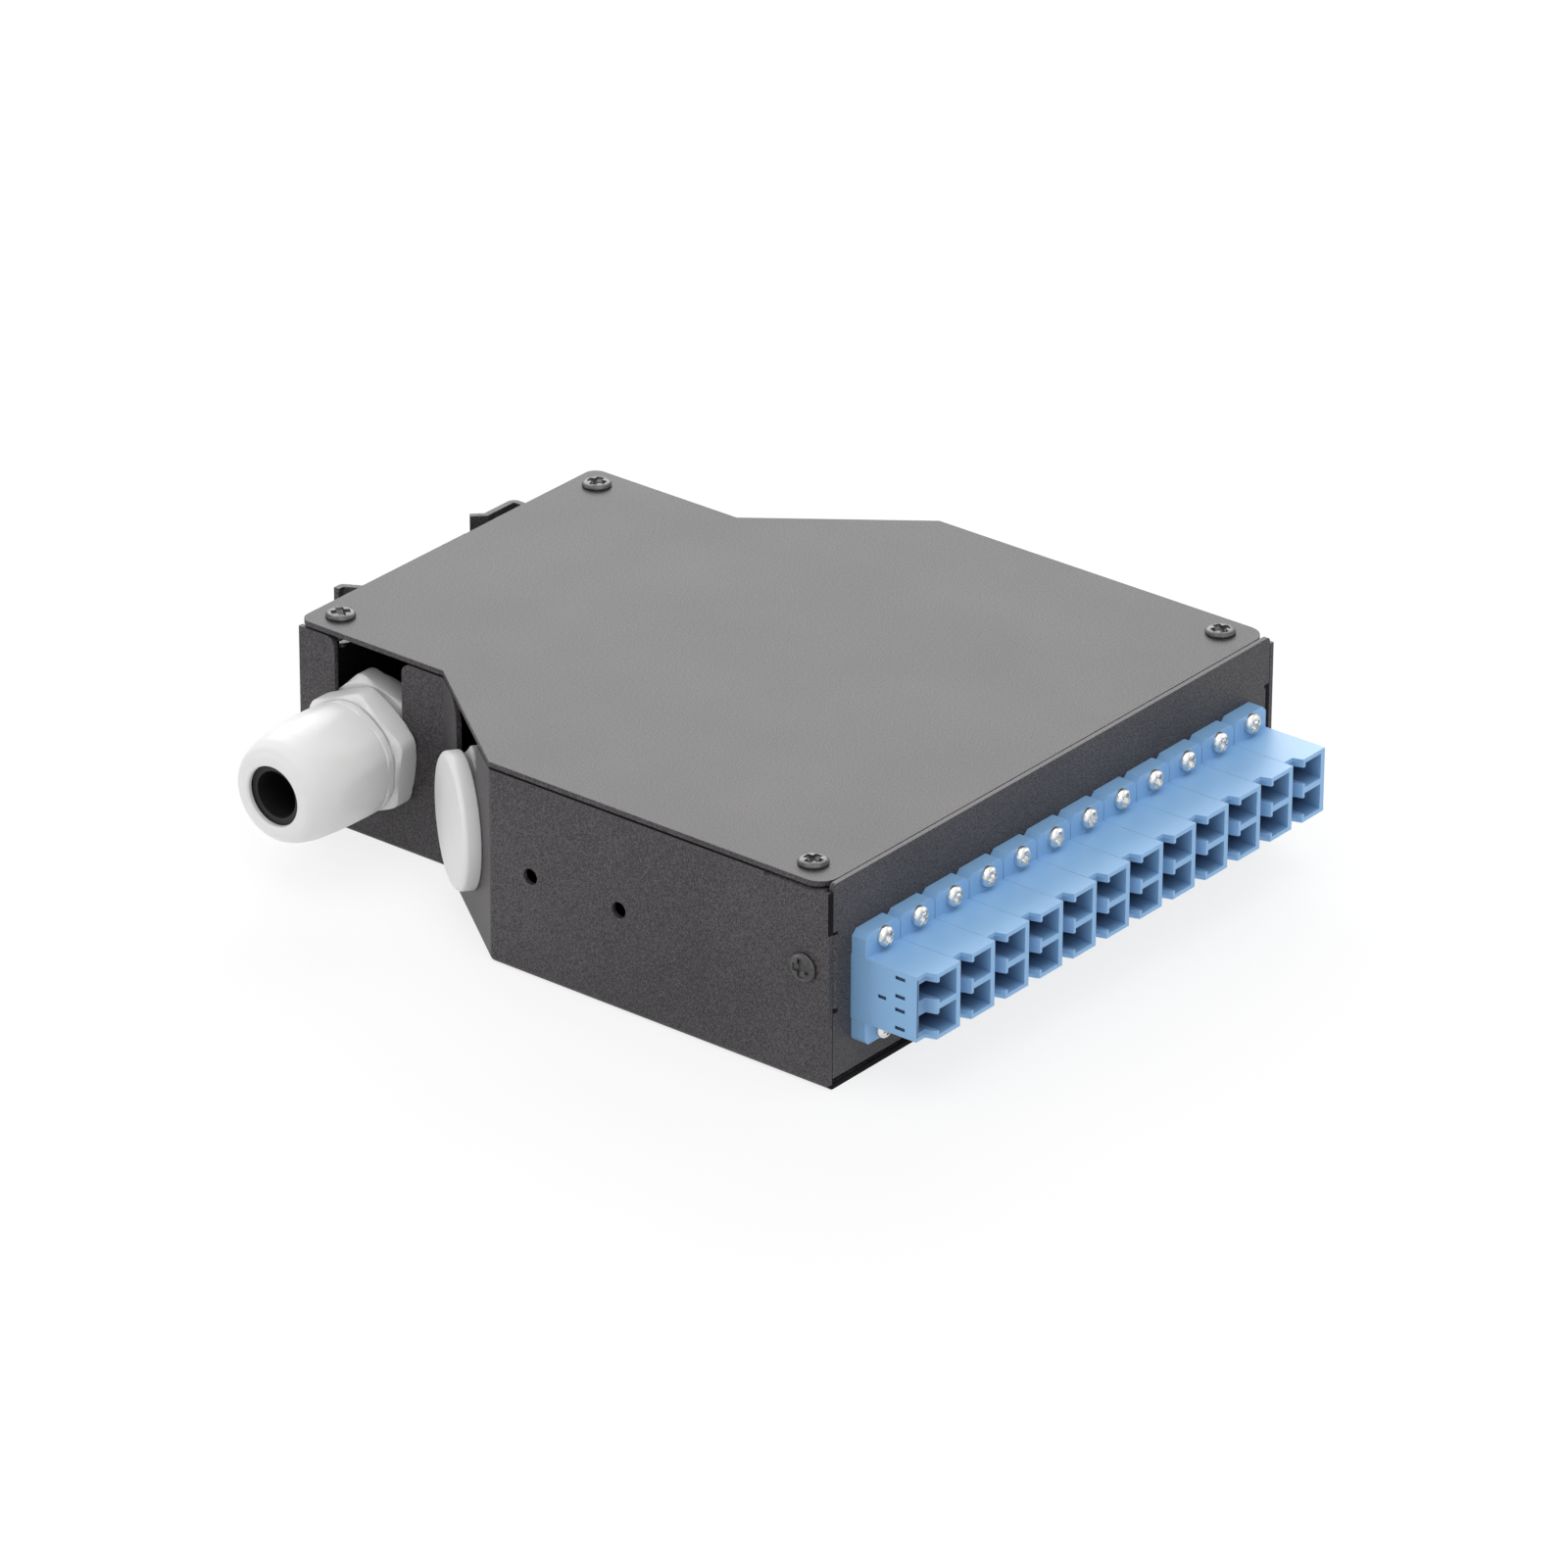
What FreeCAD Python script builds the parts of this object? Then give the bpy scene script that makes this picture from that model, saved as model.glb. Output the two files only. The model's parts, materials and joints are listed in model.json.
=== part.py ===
import FreeCAD, Part

import math
import os

from FreeCAD import Vector

# A fibre patch and splice box folded from sheet steel, which clips on a 35 mm rail.
# X runs along the front panel, Y from the front panel to the rear wall, and Z up from the base.
# The origin is on the base's underside, in the middle of the case's width and depth.
# All sizes are in millimetres.

# Sheet metal
SHEET = 1.0
BEND_INSIDE = 0.4
SEAM = 0.3

# Case
CASE_WIDTH = 131.0
CASE_DEPTH = 143.5
CASE_HEIGHT = 40.5
REAR_LENGTH = 35.0
SLANT_ACROSS = 23.0
SLANT_BACK = 30.5
LID_GAP = 0.5
LID_FRONT_CORNER = 4.0
LID_REAR_CORNER = 2.5
RELIEF = 0.8

# Lid fixings
LID_TAB_WIDTH = 13.0
LID_TAB_MARGIN = 0.6
LID_SCREW_SIDE = 5.6
LID_FRONT_SCREW_BACK = 8.1
LID_REAR_SCREW_IN = 5.4

# Metric fixings of the sheet metal
SCREW_DIAMETER = 3.0
SCREW_HEAD_DIAMETER = 5.6
SCREW_HEAD_HEIGHT = 1.0
SCREW_LENGTH = 6.0
HOLE_CLEARANCE = 0.1
THREAD_CLEARANCE = 0.05
PRESS_NUT_DIAMETER = 6.0
PRESS_NUT_LENGTH = 2.6

# Front panel
PANEL_BOTTOM = 2.1
PANEL_CORNER = 0.8
PANEL_TAB_HEIGHT = 14.6
PANEL_TAB_ABOVE = 2.75
PANEL_TAB_LENGTH = 11.0
PANEL_TAB_GAP = 0.2
PANEL_SCREW_BACK = 5.7

# Round holes in the left wall
SIDE_HOLE_DIAMETER = 3.2
SIDE_HOLE_SPACING = 20.6
SIDE_HOLE_BEFORE_SLANT = 19.8
SIDE_HOLE_HEIGHT = 20.4

# Duplex adapters
ADAPTER_PITCH = 9.87
ADAPTER_ROW_MARGIN = 6.0
ADAPTER_BELOW = 1.65
FLANGE_WIDTH = 9.7
FLANGE_TALL = 22.0
FLANGE_THICK = 3.2
FLANGE_CHAMFER = 1.1
FLANGE_FOOT_CHAMFER = 0.8
BODY_WIDTH = 9.8
BODY_TALL = 12.9
BODY_FRONT = 13.5
BODY_REAR = 12.0
BODY_STEP = 2.1
STEP_WIDTH = 3.2
STEP_SLANT = 0.7
TOP_WALL = 0.8
DIVIDER = 1.2
LATCH_SIDE_WALL = 0.6
PLAIN_SIDE_WALL = 1.15
LATCH_HEIGHT = 3.4
TOOTH = 0.6
PORT_DEPTH = 12.5
REAR_PORT_DEPTH = 9.0
SLEEVE_DIAMETER = 1.6
SLEEVE_BORE = 1.25
SLEEVE_LENGTH = 6.4
WINDOW_LENGTH = 2.2
WINDOW_HEIGHT = 0.7
WINDOW_DEPTH = 0.4
WINDOW_BACK = 7.7
WINDOW_INNER = 1.35
WINDOW_OUTER = 4.95
MARK_BACK = 3.7
MARK_LENGTH = 1.8
PANEL_SLOT_CLEARANCE = 0.2

# Flat sides that stand for a circle: in the adapters, in shanks, in heads and round hidden bores
TINY_SIDES = 6
FIXING_SIDES = 10
HEAD_SIDES = 16
HIDDEN_SIDES = 20

# Adapter screws
SMALL_SCREW_DIAMETER = 2.0
SMALL_SCREW_SPACING = 18.1
SMALL_HEAD_DIAMETER = 3.8
SMALL_HEAD_HEIGHT = 1.4
SMALL_SCREW_LENGTH = 5.6

# Cable entries: an open-topped notch in each left rear wall
ENTRY_BELOW = 0.75
GLAND_IN = 16.8
ENTRY_THREAD = 16.0
ENTRY_CLEARANCE = 0.15
NOTCH_MOUTH = 2.0
NOTCH_WIDE_MOUTH = 5.0

# Cable gland
GLAND_FLATS = 22.5
GLAND_HEX_LENGTH = 5.2
GLAND_HEX_CHAMFER = 0.8
GLAND_THREAD_LENGTH = 10.0
GLAND_BORE = 10.6
NECK_DIAMETER = 17.0
NECK_LENGTH = 9.0
CLAW_LENGTH = 4.0
CLAW_WALL = 1.2
SEAL_WALL = 2.7
NUT_GAP = 0.3
DOME_LENGTH = 21.6
DOME_BASE_RADIUS = 11.5
DOME_WAIST_RADIUS = 11.1
DOME_FRONT_RADIUS = 10.3
DOME_SHOULDER_RADIUS = 9.5
DOME_NOSE_RADIUS = 8.1
DOME_NOSE_LENGTH = 3.3
DOME_RING = 1.1
DOME_FLATS = 21.4
DOME_TURN = 15.0
DOME_HOLE = 11.8
DOME_SIDES = 36
DOME_LIP = 1.2
GLAND_TURN = 37.0
LOCKNUT_FLATS = 24.0
LOCKNUT_LENGTH = 5.0
LOCKNUT_TURN = 15.0

# Blanking plug
PLUG_HEAD_DIAMETER = 25.8
PLUG_HEAD_HEIGHT = 3.6
PLUG_EDGE_ROUND = 1.2
PLUG_SHANK_LENGTH = 9.0
PLUG_WALL = 1.6

# Rail clip on the rear wall
RAIL_WIDTH = 35.0
RAIL_FLANGE = 1.5
RAIL_PLAY = 0.3
RAIL_CENTRE = 6.2
CLIP_SHEET = 1.2
CLIP_MARGIN = 1.75
CLIP_LEFT = 26.4
CLIP_SEAT_WIDTH = 9.0
HOOK_REACH = 8.4
HOOK_FLARE = 2.0
CLIP_SCREW_OFFSET = 4.6
CLIP_SCREW_SPACING = 20.6
SLIDER_RIGHT = 1.4
SLIDER_TRAVEL = 3.5
SLIDER_GAP = 0.1
CATCH_REACH = 1.5
CATCH_WIDTH = 6.0
CATCH_OFFSET = 9.0
FINGER_RISE = 3.6
FINGER_LEAN = 2.0
FINGER_LIP = 2.0
RIVET_DIAMETER = 3.0
RIVET_HEAD_DIAMETER = 5.4
RIVET_HEAD_HEIGHT = 0.9
RIVET_LEFT = 22.0
RIVET_RIGHT = 4.8
RIVET_OFFSET = 9.0
SPRING_DIAMETER = 4.0
SPRING_WIRE = 0.6
SPRING_LENGTH = 9.0
SPRING_TURNS = 5
SPRING_STEPS = 10
TONGUE_LEFT = 12.2
TONGUE_WIDTH = 4.6
TONGUE_RISE = 4.2
WINDOW_MARGIN = 0.5

# Splice tray inside the case
TRAY_SIDE_GAP = 5.0
TRAY_DEEP = 60.0
TRAY_TALL = 9.0
TRAY_WALL = 1.2
TRAY_FLOOR = 1.5
TRAY_CORNER = 26.0
TRAY_BRIDGE_GAP = 4.7
TRAY_STANDOFF = 5.0
TRAY_SCREW_IN = 9.0
TRAY_LIP_WIDTH = 8.0
TRAY_LIP_REACH = 5.0
TRAY_LIP_THICK = 1.0
STANDOFF_FLATS = 5.5
STANDOFF_FOOT = 5.0
COMB_END_GAP = 8.5
COMB_SLOTS = 6
COMB_PITCH = 3.5
COMB_RIB = 0.9
COMB_TALL = 6.0
COMB_FLOOR = 0.8
COMB_GAP = 0.6

# Cable tie bridge
BRIDGE_LENGTH = 24.0
BRIDGE_WIDTH = 8.0
BRIDGE_RISE = 4.5
BRIDGE_SLOPE = 1.8
BRIDGE_FOOT = 7.0
BRIDGE_RIVET_IN = 3.2
BRIDGE_IN = 17.0

HALF_WIDTH = CASE_WIDTH / 2
HALF_DEPTH = CASE_DEPTH / 2
FRONT = -HALF_DEPTH
REAR = HALF_DEPTH
SIDE_LENGTH = CASE_DEPTH - SLANT_BACK - REAR_LENGTH
REAR_HALF_WIDTH = HALF_WIDTH - SLANT_ACROSS
SLANT_ANGLE = math.atan2(SLANT_ACROSS, SLANT_BACK)
SIDE_HOLE_MIDDLE = FRONT + SIDE_LENGTH - SIDE_HOLE_BEFORE_SLANT
BEND_OUTSIDE = BEND_INSIDE + SHEET
WALL_TOP = CASE_HEIGHT - SHEET - LID_GAP
LID_UNDER = CASE_HEIGHT - SHEET
SCREW_HOLE = SCREW_DIAMETER + 2 * HOLE_CLEARANCE
TAB_EDGE = HALF_WIDTH - SHEET - PANEL_TAB_GAP
MIDDLE_HEIGHT = CASE_HEIGHT / 2
PANEL_TAB_CENTRE = MIDDLE_HEIGHT + PANEL_TAB_ABOVE
ADAPTER_COUNT = int((CASE_WIDTH - 2 * ADAPTER_ROW_MARGIN) / ADAPTER_PITCH)
ADAPTER_HEIGHT = MIDDLE_HEIGHT - ADAPTER_BELOW
ENTRY_HEIGHT = MIDDLE_HEIGHT - ENTRY_BELOW
CLIP_TALL = CASE_HEIGHT - 2 * CLIP_MARGIN
TRAY_HALF_WIDTH = REAR_HALF_WIDTH - TRAY_SIDE_GAP
TRAY_SCREW_OFFSET = TRAY_HALF_WIDTH - TRAY_SCREW_IN

RIGHT_WAY = Vector(1, 0, 0)
LEFT_WAY = Vector(-1, 0, 0)
BACK_WAY = Vector(0, 1, 0)
FRONT_WAY = Vector(0, -1, 0)
UP_WAY = Vector(0, 0, 1)
DOWN_WAY = Vector(0, 0, -1)


def block(low, high):
    """Box between two opposite corners."""
    size = high - low
    return Part.makeBox(size.x, size.y, size.z, low)


def rod(diameter, length, start, way):
    return Part.makeCylinder(diameter / 2, length, start, way)


def tube(diameter, bore, length, start, way):
    return rod(diameter, length, start, way).cut(rod(bore, length, start, way))


def rounded_face(corners, radii):
    """Flat face with straight sides and a round of its own at each corner."""
    firsts, lasts, arcs = [], [], []
    count = len(corners)
    for index, corner in enumerate(corners):
        back = (corners[index - 1] - corner).normalize()
        ahead = (corners[(index + 1) % count] - corner).normalize()
        radius = radii[index]
        half = back.getAngle(ahead) / 2
        reach = radius / math.tan(half)
        first = corner + back * reach
        last = corner + ahead * reach
        firsts.append(first)
        lasts.append(last)
        if radius > 0:
            middle = corner + (back + ahead).normalize() * (radius / math.sin(half) - radius)
            arcs.append(Part.Arc(first, middle, last).toShape())
        else:
            arcs.append(None)
    edges = []
    for index in range(count):
        if arcs[index]:
            edges.append(arcs[index])
        following = firsts[(index + 1) % count]
        if lasts[index].distanceToPoint(following) > 1e-6:
            edges.append(Part.makeLine(lasts[index], following))
    return Part.Face(Part.Wire(edges))


def polygon_face(corners):
    return rounded_face(corners, [0] * len(corners))


def flat_sided_bar(sides, flats, length, start, way, turn=0.0):
    """Bar with flat sides, flats wide across them, that runs from start along way.

    Turn is the angle of its first corner above the level line that has way on its left.
    """
    radius = flats / 2 / math.cos(math.pi / sides)
    rise = UP_WAY if abs(way.z) < 0.5 else BACK_WAY
    level = way.cross(rise)
    corners = []
    for index in range(sides):
        angle = 2 * math.pi * index / sides + math.radians(turn)
        corners.append(start + level * (radius * math.cos(angle)) + rise * (radius * math.sin(angle)))
    return polygon_face(corners).extrude(way * length)


def hex_prism(flats, length, start, way, turn=0.0):
    return flat_sided_bar(6, flats, length, start, way, turn)


def tiny_rod(diameter, length, start, way):
    """Tiny round rod or hole. There are dozens of them, so each has only a few flat sides."""
    return flat_sided_bar(TINY_SIDES, diameter, length, start, way)


def fixing_rod(diameter, length, start, way):
    """Round part of a small fixing, or a hole for it, that a head or the case hides."""
    return flat_sided_bar(FIXING_SIDES, diameter, length, start, way)


def hidden_rod(diameter, length, start, way):
    """Larger round part inside another piece; its corners lie on the circle."""
    flats = diameter * math.cos(math.pi / HIDDEN_SIDES)
    return flat_sided_bar(HIDDEN_SIDES, flats, length, start, way)


def hidden_bore(diameter, length, start, way):
    """Larger round hole that another piece fills; its flat sides touch the circle from outside."""
    return flat_sided_bar(HIDDEN_SIDES, diameter, length, start, way)


def turned(profile, start, way):
    """Solid of revolution from a list of (radius, distance along way)."""
    face = polygon_face([Vector(radius, 0, along) for radius, along in profile])
    solid = face.revolve(Vector(0, 0, 0), UP_WAY, 360)
    solid.Placement = FreeCAD.Placement(start, FreeCAD.Rotation(UP_WAY, way))
    return solid


def round_head(diameter, height, seat, way):
    return flat_sided_bar(HEAD_SIDES, diameter, height, seat, way)


def sheet_screw(length, seat, way):
    """Screw for the sheet metal: its flat head stands on seat and points along way."""
    head = round_head(SCREW_HEAD_DIAMETER, SCREW_HEAD_HEIGHT, seat, way)
    return head.fuse(fixing_rod(SCREW_DIAMETER, length, seat, way * -1))


def case_corners(inset, front):
    """Plan corners of the case at a distance inside its outer faces, from front left round to the right."""
    shift = inset * math.tan(SLANT_ANGLE / 2)
    wide = HALF_WIDTH - inset
    narrow = REAR_HALF_WIDTH - inset
    side_end = FRONT + SIDE_LENGTH - shift
    slant_end = FRONT + SIDE_LENGTH + SLANT_BACK - shift
    return [Vector(-wide, front, 0), Vector(wide, front, 0), Vector(wide, side_end, 0),
            Vector(narrow, slant_end, 0), Vector(narrow, REAR - inset, 0), Vector(-narrow, REAR - inset, 0),
            Vector(-narrow, slant_end, 0), Vector(-wide, side_end, 0)]


class Wall:
    """A wall's outer face: a middle point at floor level, the way along it and the way out of it."""

    def __init__(self, middle, outward):
        self.middle = middle
        self.outward = outward
        self.along = UP_WAY.cross(outward)

    def point(self, along, height, out=0.0):
        return self.middle + self.along * along + self.outward * out + UP_WAY * height


SLANT_WALL = Wall(Vector(-HALF_WIDTH + SLANT_ACROSS / 2, FRONT + SIDE_LENGTH + SLANT_BACK / 2, 0),
                  Vector(-math.cos(SLANT_ANGLE), math.sin(SLANT_ANGLE), 0))
GLAND_WALL = Wall(Vector(-REAR_HALF_WIDTH, REAR - GLAND_IN, 0), LEFT_WAY)


def entry_notch(wall, front_mouth, rear_mouth):
    """Open-topped slot through a wall. Its rounded mouth is wider at the top."""
    half = ENTRY_THREAD / 2 + ENTRY_CLEARANCE
    top = WALL_TOP
    over = WALL_TOP + SHEET
    # along runs towards the front on the left walls
    corners = [wall.point(half + front_mouth, over), wall.point(half + front_mouth, top),
               wall.point(half, top), wall.point(half, ENTRY_HEIGHT - half),
               wall.point(-half, ENTRY_HEIGHT - half), wall.point(-half, top),
               wall.point(-half - rear_mouth, top), wall.point(-half - rear_mouth, over)]
    face = rounded_face(corners, [0, 0, front_mouth, half, half, rear_mouth, 0, 0])
    face.translate(wall.outward * SHEET)
    return face.extrude(wall.outward * (-4 * SHEET))


def bent_tab(edge, inward, width, low, reach):
    """Tab turned in from a wall's top edge: an angle with a bend, standing on the wall's outer face."""
    along = UP_WAY.cross(inward)
    start = edge - along * (width / 2)
    corners = [start + UP_WAY * low, start + UP_WAY * WALL_TOP,
               start + inward * reach + UP_WAY * WALL_TOP,
               start + inward * reach + UP_WAY * (WALL_TOP - SHEET),
               start + inward * SHEET + UP_WAY * (WALL_TOP - SHEET),
               start + inward * SHEET + UP_WAY * low]
    return rounded_face(corners, [0, BEND_OUTSIDE, 0, 0, BEND_INSIDE, 0]).extrude(along * width)


def lid_screw_places():
    front = FRONT + LID_FRONT_SCREW_BACK
    back = REAR - LID_REAR_SCREW_IN
    side = HALF_WIDTH - LID_SCREW_SIDE
    rear_side = REAR_HALF_WIDTH - LID_SCREW_SIDE
    return [Vector(-side, front, 0), Vector(side, front, 0),
            Vector(-rear_side, back, 0), Vector(rear_side, back, 0)]


def lid_tabs():
    """Four tabs under the lid: two turned in from the side walls, two from the rear wall."""
    past_nut = PRESS_NUT_DIAMETER / 2 + LID_TAB_MARGIN
    rear_width = 2 * (LID_SCREW_SIDE - SHEET - SEAM)
    tabs = []
    for place in lid_screw_places():
        if place.y < 0:
            side = math.copysign(1, place.x)
            edge = Vector(side * HALF_WIDTH, place.y, 0)
            tabs.append((edge, Vector(-side, 0, 0), LID_TAB_WIDTH, LID_SCREW_SIDE + past_nut, place))
        else:
            edge = Vector(place.x, REAR, 0)
            tabs.append((edge, FRONT_WAY, rear_width, LID_REAR_SCREW_IN + past_nut, place))
    return tabs


def make_case_tray():
    beyond = FRONT - CASE_DEPTH / 4
    outside = rounded_face(case_corners(0, beyond), [0, 0, BEND_OUTSIDE, BEND_INSIDE, 0, 0,
                                                     BEND_INSIDE, BEND_OUTSIDE])
    inside = rounded_face(case_corners(SHEET, beyond - SHEET), [0, 0, BEND_INSIDE, BEND_OUTSIDE, 0, 0,
                                                                BEND_OUTSIDE, BEND_INSIDE])
    shell = outside.extrude(UP_WAY * WALL_TOP)
    low_edges = [edge for edge in shell.Edges
                 if edge.BoundBox.ZMax < SHEET / 2 and edge.BoundBox.YMax > beyond + SHEET]
    shell = shell.makeFillet(BEND_OUTSIDE, low_edges)
    hollow = inside.extrude(UP_WAY * WALL_TOP)
    low_edges = [edge for edge in hollow.Edges
                 if edge.BoundBox.ZMax < SHEET / 2 and edge.BoundBox.YMax > beyond]
    hollow = hollow.makeFillet(BEND_INSIDE, low_edges)
    hollow.translate(UP_WAY * SHEET)
    tray = shell.cut(hollow)

    # The base and the side walls run to the front face, and the panel stands between the walls
    big = CASE_WIDTH
    tray = tray.cut(block(Vector(-big, beyond - big, -big), Vector(big, FRONT, big)))

    # Seams beside the rear wall and small reliefs where the slanted walls meet the base
    cuts = []
    for side in (-1, 1):
        inner = side * (REAR_HALF_WIDTH - SHEET)
        low = Vector(min(inner, inner - side * SEAM), REAR - SHEET, BEND_OUTSIDE)
        high = Vector(max(inner, inner - side * SEAM), REAR + SHEET, big)
        cuts.append(block(low, high))
        corner = Vector(side * REAR_HALF_WIDTH, FRONT + SIDE_LENGTH + SLANT_BACK, -SHEET)
        cuts.append(rod(2 * RELIEF, SHEET + BEND_OUTSIDE, corner, UP_WAY))
    cuts.append(entry_notch(GLAND_WALL, NOTCH_MOUTH, NOTCH_MOUTH))
    cuts.append(entry_notch(SLANT_WALL, NOTCH_MOUTH, NOTCH_WIDE_MOUTH))

    # Lid tabs replace the top of the wall they are bent from
    tabs = []
    for edge, inward, width, reach, place in lid_tabs():
        along = UP_WAY.cross(inward)
        low = WALL_TOP - 3 * SHEET
        corner = edge - along * (width / 2) - inward * SHEET + UP_WAY * low
        far = edge + along * (width / 2) + inward * 2 * SHEET + UP_WAY * big
        cuts.append(block(Vector(min(corner.x, far.x), min(corner.y, far.y), corner.z),
                          Vector(max(corner.x, far.x), max(corner.y, far.y), far.z)))
        tab = bent_tab(edge, inward, width, low, reach)
        tabs.append(tab.cut(fixing_rod(PRESS_NUT_DIAMETER, 3 * SHEET, place + UP_WAY * low, UP_WAY)))
    tray = tray.cut(cuts).fuse(tabs).removeSplitter()

    holes = []
    for back in (-SIDE_HOLE_SPACING / 2, SIDE_HOLE_SPACING / 2):
        start = Vector(-HALF_WIDTH - SHEET, SIDE_HOLE_MIDDLE + back, SIDE_HOLE_HEIGHT)
        holes.append(rod(SIDE_HOLE_DIAMETER, 3 * SHEET, start, RIGHT_WAY))
    for place in panel_screw_places():
        holes.append(fixing_rod(SCREW_HOLE, 6 * SHEET, place - RIGHT_WAY * 3 * SHEET, RIGHT_WAY))
    for place in clip_screw_places() + clip_rivet_places():
        holes.append(fixing_rod(SCREW_HOLE, 6 * SHEET, place - BACK_WAY * 3 * SHEET, BACK_WAY))
    for place in standoff_places():
        holes.append(fixing_rod(STANDOFF_FOOT, 3 * SHEET, place - UP_WAY * SHEET, UP_WAY))
    for place in bridge_rivet_places():
        holes.append(fixing_rod(SCREW_HOLE, 3 * SHEET, place - UP_WAY * SHEET, UP_WAY))
    return tray.cut(holes)


def make_lid():
    corners = case_corners(0, FRONT + SHEET + PANEL_TAB_GAP)
    face = rounded_face(corners, [LID_FRONT_CORNER, LID_FRONT_CORNER, 0, 0, LID_REAR_CORNER, LID_REAR_CORNER,
                                  0, 0])
    lid = face.extrude(UP_WAY * SHEET)
    lid.translate(UP_WAY * LID_UNDER)
    return lid.cut([fixing_rod(SCREW_HOLE, 3 * SHEET, place + UP_WAY * (LID_UNDER - SHEET), UP_WAY)
                    for place in lid_screw_places()])


def make_lid_screws():
    return [sheet_screw(SCREW_LENGTH, place + UP_WAY * CASE_HEIGHT, UP_WAY) for place in lid_screw_places()]


def press_nut(seat, way, collar):
    """Press nut in a sheet: its body goes through and below, its collar stands proud along way."""
    bore = SCREW_DIAMETER + 2 * THREAD_CLEARANCE
    start = seat + way * collar
    length = PRESS_NUT_LENGTH + collar
    body = fixing_rod(PRESS_NUT_DIAMETER, length, start, way * -1)
    return body.cut(fixing_rod(bore, length, start, way * -1))


def make_lid_press_nuts():
    return [press_nut(place + UP_WAY * WALL_TOP, UP_WAY, LID_GAP) for place in lid_screw_places()]


def panel_screw_places():
    """Where the side screws pass the outer faces of the side walls."""
    back = FRONT + PANEL_SCREW_BACK
    return [Vector(-HALF_WIDTH, back, PANEL_TAB_CENTRE), Vector(HALF_WIDTH, back, PANEL_TAB_CENTRE)]


def adapter_places():
    first = -(ADAPTER_COUNT - 1) / 2 * ADAPTER_PITCH
    return [Vector(first + index * ADAPTER_PITCH, FRONT, ADAPTER_HEIGHT) for index in range(ADAPTER_COUNT)]


def small_screw_places():
    offset = UP_WAY * (SMALL_SCREW_SPACING / 2)
    places = []
    for place in adapter_places():
        places += [place + offset, place - offset]
    return places


def make_front_panel():
    corners = [Vector(-TAB_EDGE, FRONT, PANEL_BOTTOM), Vector(TAB_EDGE, FRONT, PANEL_BOTTOM),
               Vector(TAB_EDGE, FRONT, CASE_HEIGHT), Vector(-TAB_EDGE, FRONT, CASE_HEIGHT)]
    plate = rounded_face(corners, [0, 0, PANEL_CORNER, PANEL_CORNER]).extrude(BACK_WAY * SHEET)
    low = PANEL_TAB_CENTRE - PANEL_TAB_HEIGHT / 2
    high = PANEL_TAB_CENTRE + PANEL_TAB_HEIGHT / 2
    bend_start = TAB_EDGE - BEND_OUTSIDE
    cuts = []
    tabs = []
    for side in (-1, 1):
        ends = sorted((side * bend_start, side * CASE_WIDTH))
        cuts.append(block(Vector(ends[0], FRONT - SHEET, low - RELIEF),
                          Vector(ends[1], FRONT + 2 * SHEET, high + RELIEF)))
        plan = [Vector(side * bend_start, FRONT, low), Vector(side * TAB_EDGE, FRONT, low),
                Vector(side * TAB_EDGE, FRONT + PANEL_TAB_LENGTH, low),
                Vector(side * (TAB_EDGE - SHEET), FRONT + PANEL_TAB_LENGTH, low),
                Vector(side * (TAB_EDGE - SHEET), FRONT + SHEET, low),
                Vector(side * bend_start, FRONT + SHEET, low)]
        tabs.append(rounded_face(plan, [0, BEND_OUTSIDE, 0, 0, BEND_INSIDE, 0]).extrude(
            UP_WAY * PANEL_TAB_HEIGHT))
    panel = plate.cut(cuts).fuse(tabs).removeSplitter()
    slot_half = (ADAPTER_COUNT - 1) / 2 * ADAPTER_PITCH + BODY_WIDTH / 2 + PANEL_SLOT_CLEARANCE
    slot_rise = BODY_TALL / 2 + PANEL_SLOT_CLEARANCE
    holes = [block(Vector(-slot_half, FRONT - SHEET, ADAPTER_HEIGHT - slot_rise),
                   Vector(slot_half, FRONT + 2 * SHEET, ADAPTER_HEIGHT + slot_rise))]
    tapped = SMALL_SCREW_DIAMETER + 2 * THREAD_CLEARANCE
    for place in small_screw_places():
        holes.append(tiny_rod(tapped, 3 * SHEET, place - BACK_WAY * SHEET, BACK_WAY))
    for place in panel_screw_places():
        holes.append(fixing_rod(PRESS_NUT_DIAMETER, 12 * SHEET, place - RIGHT_WAY * 6 * SHEET, RIGHT_WAY))
    return panel.cut(holes)


def make_panel_press_nuts():
    nuts = []
    for place in panel_screw_places():
        outward = Vector(math.copysign(1, place.x), 0, 0)
        seat = place - outward * (HALF_WIDTH - TAB_EDGE)
        nuts.append(press_nut(seat, outward, 0))
    return nuts


def make_panel_screws():
    return [sheet_screw(SCREW_LENGTH - 2 * SHEET, place, Vector(math.copysign(1, place.x), 0, 0))
            for place in panel_screw_places()]


def port_middles():
    port_tall = (BODY_TALL - 2 * TOP_WALL - DIVIDER) / 2
    return port_tall, [(port_tall + DIVIDER) / 2, -(port_tall + DIVIDER) / 2]


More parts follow.
